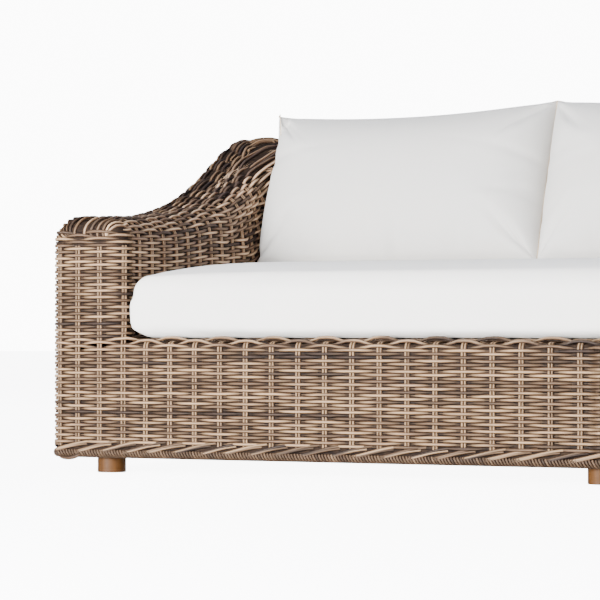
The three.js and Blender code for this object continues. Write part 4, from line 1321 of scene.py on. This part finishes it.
def into_corner(points):
    """How far points lie past the start of a rear corner's round, sideways and back, and in all"""
    dx, dy = np.abs(points[:, 0]) + CORNER.x, points[:, 1] - CORNER.y
    return dx, dy, np.hypot(dx, dy)


def set_in_corner(points, dx, dy, past):
    """Moves those points that are past a rear corner's round to a place inside it"""
    points[:, 0] = np.where(past, np.sign(points[:, 0]) * (dx - CORNER.x), points[:, 0])
    points[:, 1] = np.where(past, CORNER.y + dy, points[:, 1])
    return points


def seat_cushion_room(points):
    """Keeps the filled cushion on the deck, between the arms and in front of the back"""
    x, y, z = points.T
    y -= 0.006 * smooth((CUSHION_LOW.y + 0.050 - y) / 0.050)
    drop = EDGE_DROP * smooth((FRONT + 0.010 - y) / 0.010)
    z -= drop * smooth((CUSHION_LOW.z + 0.030 - z) / 0.030)
    np.maximum(z, CUSHION_LOW.z - drop, out=z)
    under = smooth((y - PILLOW_FOOT + 0.16) / 0.05)
    np.minimum(z, cushion_top(x, y) - SOFT_GAP * under, out=z)
    np.clip(y, FRONT - 0.004, CUSHION_HIGH.y, out=y)
    ahead = np.clip(FRONT_EDGE - y, 0.0, EDGE_RADIUS)
    rounded = EDGE_RADIUS - np.sqrt(EDGE_RADIUS ** 2 - ahead ** 2)
    side = CUSHION_HIGH.x + np.clip(rounded, 0.001, 0.020)
    np.clip(x, -side, side, out=x)
    dx, dy, away = into_corner(points)
    reach = INNER_CORNER - 0.004
    scale = reach / np.maximum(away, TINY)
    return set_in_corner(points, dx * scale, dy * scale, (dx > 0) & (dy > 0) & (away > reach))


def pillow_form(middle, width, settings, key):
    """Two crowned faces that meet at a seam, pinched at the corners and drawn in between: their
    points, faces, seam, nearness to the seam and creases"""
    half_height, pitch = settings.pillow_height / 2, settings.cell * 0.8
    keys, spots, faces = shell_grid([round(width / pitch), 2, round(2 * half_height / pitch)])
    u, v = to_edge(spots[:, 0], 0.92), to_edge(spots[:, 2])
    full = np.sqrt(np.clip(1 - np.abs(u) ** 11, 0, 1) * np.clip(1 - np.abs(v) ** 4.5, 0, 1))
    thick = PILLOW_EDGE + (settings.pillow_fullness / 2 - PILLOW_EDGE) * full
    x = width / 2 * u - 0.0015 * np.sign(u) * u ** 2 * (1 - v ** 2)
    y = spots[:, 1] * thick
    slope, sag = PILLOW_TOPS[key]
    ear = np.exp(-((1 - np.abs(u)) / 0.080) ** 2) * 0.006
    top = slope * (1 + u) / 2 - max(slope, 0.0) - sag * (1 - u ** 2) + ear - 0.003
    z = half_height * v + np.clip(v, 0, 1) ** 2 * top
    z = z + 0.004 * (1 - u ** 2) * np.clip(-v, 0, 1) ** 2 + half_height
    ring = np.flatnonzero(keys[:, 1] == 1)
    ring = ring[np.argsort(np.arctan2(v[ring], u[ring]))]
    cos, sin = math.cos(settings.pillow_lean), math.sin(settings.pillow_lean)
    base = (middle, PILLOW_FOOT, float(cushion_top(middle, PILLOW_FOOT)))
    points = columns(x, y * cos + z * sin, z * cos - y * sin) + base
    drawn = creases(u, v, key) * (spots[:, 1] < 0)
    return points, faces, ring, np.maximum(np.abs(u), np.abs(v)), drawn


def creases(u, v, key):
    """How deep the cloth is drawn in where the seam gathers it"""
    deep = np.zeros(len(u))
    for number in range(16):
        place, slant, length, size, depth = [float(hashed(number, key * 7.0 + part))
                                             for part in (1.0, 2.0, 3.0, 4.0, 5.0)]
        if number < 10:
            across, away = u - (place * 2 - 1) * 0.96, v + 1
        else:
            across, away = v - (place * 2 - 1) * 0.90, 1 - u * (1 if number % 2 else -1)
        across = (across - (slant - 0.5) * 0.9 * away) / (0.030 + 0.026 * size)
        deep += (0.0036 + 0.0052 * depth) * np.exp(-across ** 2 - away / (0.10 + 0.26 * length))
    return deep


def pillow_room(points, low, high):
    """Keeps a filled pillow on the cushion, in front of the back and beside its neighbours"""
    x, y, z = points.T
    np.maximum(z, cushion_top(x, y) + SOFT_GAP, out=z)
    np.clip(x, low, high, out=x)
    lean = BACK_LEAN * (np.minimum(z, BACK_TOP - TOP_RADIUS) - SEAT_TOP)
    np.minimum(y, BACK_FACE + lean - 0.003, out=y)
    dx, dy, away = into_corner(points)
    angle = np.arctan2(np.maximum(dy, 0), np.maximum(dx, TINY))
    reach = INNER_CORNER + lean * np.sin(angle) ** 2 - 0.006 - 0.032 * np.sin(2 * angle)
    near = np.minimum(dx, reach * 0.80)
    deep = np.sqrt(np.maximum(reach ** 2 - near ** 2, 0))
    return set_in_corner(points, near, deep, (dx > 0) & (dy > 0) & (away > reach))


def cover_mesh(name, points, faces):
    mesh = bpy.data.meshes.new(name)
    mesh.from_pydata(points.tolist(), [], faces)
    mesh.update()
    return placed(name, mesh)


def blown_up(piece, pressure, cap, share=(1.0, 1.0, 1.0), gather=None, sewn=()):
    """Fills a cover with air by cloth simulation and returns its points, moved no further than
    cap. The gathered part grows by a twentieth, and the sewn points are held."""
    start = np.array([vertex.co for vertex in piece.data.vertices])
    cloth = piece.modifiers.new("filling", "CLOTH")
    rules = cloth.settings
    rules.quality = 5
    rules.use_pressure = True
    rules.uniform_pressure_force = pressure
    rules.effector_weights.gravity = 0.0
    rules.tension_stiffness = rules.compression_stiffness = 15
    rules.bending_stiffness = 0.05
    cloth.collision_settings.use_collision = False
    if gather is not None:
        group = piece.vertex_groups.new(name="gather")
        for number, weight in enumerate(gather):
            group.add([number], float(weight), "REPLACE")
        rules.vertex_group_shrink = "gather"
        rules.shrink_min, rules.shrink_max = 0.0, -0.05
        held = piece.vertex_groups.new(name="sewn")
        held.add([int(number) for number in sewn], 1.0, "REPLACE")
        rules.vertex_group_mass = "sewn"
    scene = bpy.context.scene
    cloth.point_cache.frame_start, cloth.point_cache.frame_end = 1, FILLING_FRAMES
    for number in range(1, FILLING_FRAMES + 1):
        scene.frame_set(number)
    shaped = piece.evaluated_get(bpy.context.evaluated_depsgraph_get()).data
    end = np.empty(len(shaped.vertices) * 3)
    shaped.vertices.foreach_get("co", end)
    piece.modifiers.remove(cloth)
    piece.vertex_groups.clear()
    scene.frame_set(1)
    move = (end.reshape(-1, 3) - start) * share
    far = np.linalg.norm(move, axis=1)[:, None]
    return start + move * np.minimum(1.0, cap / np.maximum(far, TINY))


def finish_cover(piece, points, node, finish):
    """Puts the filled shape and its fabric on a cover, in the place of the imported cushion"""
    piece.data.vertices.foreach_set("co", points.ravel())
    piece.data.update()
    piece.data.shade_smooth()
    fine = piece.modifiers.new("fine", "SUBSURF")
    fine.levels = fine.render_levels = 1
    piece.data.materials.append(finish)
    declare(piece, node + "_body", [node])


# Operators: one for each piece or group of like pieces
class SOFA_OT_camera(bpy.types.Operator):
    """Sets the camera to the sofa's three-quarter view"""

    bl_idname = "sofa.camera"
    bl_label = "Camera"

    def execute(self, context):
        data = bpy.data.cameras.new("view")
        data.lens, data.sensor_width, data.clip_end = 160.5, 36.0, 50.0
        camera = placed("view", data)
        camera.location = (1.655, -5.369, 0.296)
        camera.rotation_euler = [math.radians(angle) for angle in (90.68, 0.0, 24.91)]
        context.scene.camera = camera
        return {"FINISHED"}


def turned_foot(node):
    """A turned foot in the place of the frame's own, with finer facets and a small chamfer"""
    low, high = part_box(node.name)
    middle, radius, chamfer, count = (low + high) / 2, (high.x - low.x) / 2, 0.0012, 64
    turn = np.linspace(0.0, math.tau, count, endpoint=False)
    points = np.vstack([
        columns(middle.x + size * np.cos(turn), middle.y + size * np.sin(turn), z)
        for size, z in ((radius - chamfer, low.z), (radius, low.z + chamfer), (radius, high.z))])
    faces = [tuple(range(count - 1, -1, -1)), tuple(range(2 * count, 3 * count))]
    for start in (0, count):
        for here, ahead in ((i, (i + 1) % count) for i in range(count)):
            faces.append((start + here, start + ahead, start + count + ahead, start + count + here))
    piece = cover_mesh("turned_" + node.name, points, faces)
    piece.data.shade_smooth()
    piece.data.set_sharp_from_angle(angle=math.radians(30))
    piece.data.materials.append(node.data.materials[0])
    declare(piece, "sofa_body", [node.name])


def node_slot(name):
    if name.startswith("foot_bolt"):
        return "bolt_steel"
    return "teak" if name.startswith("foot_") and "plate" not in name else "frame_aluminium"


class SOFA_OT_frame(bpy.types.Operator):
    """Finishes the tube frame, the feet and their bolts"""

    bl_idname = "sofa.frame"
    bl_label = "Frame and Feet"

    def execute(self, context):
        finishes = {"frame_aluminium": tube_finish(), "teak": teak_finish(),
                    "bolt_steel": bolt_finish()}
        for name in frame["nodes"]:
            piece, slot = bpy.data.objects[name], node_slot(name)
            piece.data.materials.clear()
            piece.data.materials.append(finishes[slot])
            if slot == "teak":
                turned_foot(piece)
        return {"FINISHED"}


class SOFA_OT_front_weave(bpy.types.Operator):
    """Weaves the front, the fronts of the arms and the rolled lower edge"""

    bl_idname = "sofa.front_weave"
    bl_label = "Front Weave"

    def execute(self, context):
        settings = context.scene.sofa_weave
        outer, inner = WovenFace(False, SKIN), WovenFace(True, SKIN)
        finish = wicker_finish("wicker_front")
        strands = Strands()
        front_rows(strands, settings, outer, inner)
        front_stake_lines(strands)
        apron_top_rows(strands, settings)
        weave_piece("woven_front", strands, finish, "sofa_body",
                    ["weave_apron", "weave_arm_front_left", "weave_arm_front_right"])
        edge, foot = Strands(), FootPath(outer)
        border_slants(edge, foot, settings)
        border_wraps(edge, foot, settings)
        corner_loop(edge)
        weave_piece("woven_edge", edge, finish, "sofa_body", [])
        grids = front_shade_sheet(crest_outline(outer, inner))
        shade_sheet_piece("woven_front_shade_sheet", grids, shade_sheet_finish())
        return {"FINISHED"}


class SOFA_OT_arm_weave(bpy.types.Operator):
    """Weaves the arms, the corners and the back, outside and inside"""

    bl_idname = "sofa.arm_weave"
    bl_label = "Arm and Back Weave"

    def execute(self, context):
        settings = context.scene.sofa_weave
        faces = WovenFace(False, SKIN), WovenFace(True, SKIN)
        outline = crest_outline(*faces)
        # The inside's finish is a greyer copy made 2.15 times as light, as painted light for the
        # inner faces, which get less light
        finishes = wicker_finish("wicker_outside"), wicker_finish("wicker_inside", 0.14, 2.15)
        weaves = ((OUTER_ROWS, (0.35, 0.95), 0, BORDER_ROWS, 300.0, STAKE_FOOT, "outer"),
                  (INNER_ROWS, (0.25, 0.95), FRONT_ROWS, 0, 600.0, 0.004, "inner"))
        for face, finish, weave in zip(faces, finishes, weaves):
            count, spread, first, skip, key, low, side = weave
            rows = face_rows(face, count, spread)
            lines = face_wefts(face, rows, first, skip, outline, settings)
            lines += face_stakes(face, key, low)
            arm = CORNER.y - FRONT_EDGE
            back = face.length / 2 + CORNER.x
            sets = dealt(lines, [arm, back, face.length - back, face.length - arm])
            names = ("arm_left", "corner_left", "back", "corner_right", "arm_right")
            for name, strands in zip(names, sets):
                weave_piece(f"woven_{name}_{side}", strands, finish, "sofa_body",
                            ["weave_" + name])
        walls, crests = [[WovenFace(inside, skin, 0.016, levels).grid for inside in (False, True)]
                         for skin, levels in ((SHADE_SHEET_DEPTH, 41), (CREST_SHADE_SHEET_DEPTH, 81))]
        shade_sheet_piece("woven_shade_sheet", walls + [grid[:, -14:] for grid in crests], shade_sheet_finish())
        return {"FINISHED"}


class SOFA_OT_deck(bpy.types.Operator):
    """Weaves the seat deck under the cushion"""

    bl_idname = "sofa.deck"
    bl_label = "Seat Deck"

    def execute(self, context):
        weave_piece("woven_deck", deck_strands(context.scene.sofa_weave),
                    wicker_finish("wicker_deck_strand"), "sofa_body", ["seat_deck"],
                    {"Strand Width": 0.0100, "Strand Depth": 0.0036, "Over Height": 0.0028})
        shade_sheet_piece("woven_deck_shade_sheet", deck_shade_sheet(), shade_sheet_finish())
        return {"FINISHED"}


class SOFA_OT_seat_cushion(bpy.types.Operator):
    """Makes the long seat cushion"""

    bl_idname = "sofa.seat_cushion"
    bl_label = "Seat Cushion"

    def execute(self, context):
        settings = context.scene.sofa_cushions
        piece = cover_mesh("seat_cushion_cover", *seat_cushion_form(settings))
        points = blown_up(piece, settings.pressure, 0.022, (0.15, 0.25, 1.0))
        finish_cover(piece, seat_cushion_room(points), "seat_cushion",
                     fabric_finish("cushion_cloth"))
        return {"FINISHED"}


class SOFA_OT_pillows(bpy.types.Operator):
    """Makes the three back pillows with their sewn edges"""

    bl_idname = "sofa.pillows"
    bl_label = "Back Pillows"

    def execute(self, context):
        settings = context.scene.sofa_cushions
        # The pillows' cloth is the seat's cloth made darker, as painted shade
        sewn, cloth = seam_finish(), fabric_finish("pillow_cloth", 0.70)
        inward = np.array([0.0, math.cos(settings.pillow_lean), -math.sin(settings.pillow_lean)])
        for key, name in enumerate(("pillow_left", "pillow_centre", "pillow_right")):
            low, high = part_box(name)
            points, faces, ring, edge, drawn = pillow_form((low.x + high.x) / 2, high.x - low.x,
                                                           settings, key)
            piece = cover_mesh(name + "_cover", points, faces)
            gather = smooth((edge - 0.90) / 0.08)
            points = blown_up(piece, settings.pressure, 0.024, gather=gather, sewn=ring)
            points = pillow_room(points + drawn[:, None] * inward, low.x, high.x)
            finish_cover(piece, points, name, cloth)
            line = points[np.append(ring, ring[:1])]
            out = unit(line - line[:-1].mean(axis=0))
            seam = Strands()
            seam.add(line + out * 0.0004, out, BETWEEN, 0.5)
            weave_piece(name + "_seam", seam, sewn, name + "_body", [],
                        {"Strand Width": 0.0036, "Strand Depth": 0.0026})
        return {"FINISHED"}


class SOFA_OT_stage(bpy.types.Operator):
    """Sets the pale floor and the soft studio light"""

    bl_idname = "sofa.stage"
    bl_label = "Stage"

    LIGHTS = (("key", (-2.0, -5.2, 0.92), 1.9, 1120.0), ("rear", (0.5, 6.5, 1.2), 3.0, 800.0),
              ("fill", (2.2, -5.4, 0.8), 3.0, 380.0))
    AIM = Vector((-0.5, 0.0, 0.4))

    def execute(self, context):
        white, size, level = (1.0, 1.0, 1.0, 1.0), 30.0, CAD_BOX[0][2]
        look = Finish("studio_floor")
        colour = look.ramp(look.noise(look.coords, 3.0), (0.3, (0.93,) * 3), (0.7, (0.95,) * 3))
        seen = look.times(look.node("ShaderNodeLightPath")["Is Camera Ray"], 8.5)
        corners = np.array([(-size, -size, level), (size, -size, level), (size, size, level),
                            (-size, size, level)])
        floor = cover_mesh("floor", corners, [(0, 1, 2, 3)])
        floor.data.materials.append(look.finish(Base_Color=colour, Roughness=0.9,
                                                Emission_Color=white, Emission_Strength=seen))
        world = bpy.data.worlds.new("studio")
        world.use_nodes = True
        tree = world.node_tree
        tree.nodes.clear()
        up = add_node(tree, "ShaderNodeTexCoord").outputs["Generated"]
        up = add_node(tree, "ShaderNodeSeparateXYZ", {0: up}).outputs["Z"]
        sky = colour_ramp(tree, up, (0.05, (1.0, 0.98, 0.96)), (0.70, (0.26, 0.34, 0.54)))
        sky, sheet = [
            add_node(tree, "ShaderNodeBackground", {"Color": colour, "Strength": power}).outputs[0]
            for colour, power in ((sky, 0.80), (white, 11.5))]
        seen = add_node(tree, "ShaderNodeLightPath").outputs["Is Camera Ray"]
        both = add_node(tree, "ShaderNodeMixShader", {"Fac": seen, 1: sky, 2: sheet}).outputs[0]
        add_node(tree, "ShaderNodeOutputWorld", {"Surface": both})
        context.scene.world = world
        for name, place, size, power in self.LIGHTS:
            data = bpy.data.lights.new(name, "AREA")
            data.size, data.energy = size, power
            light = placed(name, data)
            light.location = place
            light.rotation_euler = (self.AIM - Vector(place)).to_track_quat("-Z", "Y").to_euler()
        return {"FINISHED"}


class SOFA_PT_panel(bpy.types.Panel):
    """The sofa's pieces in the 3D view's sidebar"""

    bl_idname = "SOFA_PT_panel"
    bl_label = "Woven Garden Sofa"
    bl_space_type = "VIEW_3D"
    bl_region_type = "UI"
    bl_category = "Sofa"

    def draw(self, context):
        column = self.layout.column()
        for operator in OPERATORS:
            column.operator(operator.bl_idname)
        for holder in SETTINGS:
            settings = getattr(context.scene, holder)
            for name in settings.bl_rna.properties.keys():
                if name not in ("rna_type", "name"):
                    column.prop(settings, name)


OPERATORS = (SOFA_OT_camera, SOFA_OT_frame, SOFA_OT_front_weave, SOFA_OT_arm_weave, SOFA_OT_deck,
             SOFA_OT_seat_cushion, SOFA_OT_pillows, SOFA_OT_stage)
SETTINGS = {"sofa_weave": WeaveSettings, "sofa_cushions": CushionSettings,
            "sofa_finish": FinishSettings}


def register():
    for kind in (*SETTINGS.values(), *OPERATORS, SOFA_PT_panel):
        bpy.utils.register_class(kind)
    for name, kind in SETTINGS.items():
        setattr(bpy.types.Scene, name, bpy.props.PointerProperty(type=kind))


def unregister():
    for name in SETTINGS:
        delattr(bpy.types.Scene, name)
    for kind in (SOFA_PT_panel, *reversed(OPERATORS), *SETTINGS.values()):
        bpy.utils.unregister_class(kind)


def main():
    register()
    bpy.ops.sofa.camera()
    bpy.ops.sofa.frame()
    bpy.ops.sofa.front_weave()
    bpy.ops.sofa.arm_weave()
    bpy.ops.sofa.deck()
    bpy.ops.sofa.seat_cushion()
    bpy.ops.sofa.pillows()
    bpy.ops.sofa.stage()


if __name__ == "__main__":
    main()
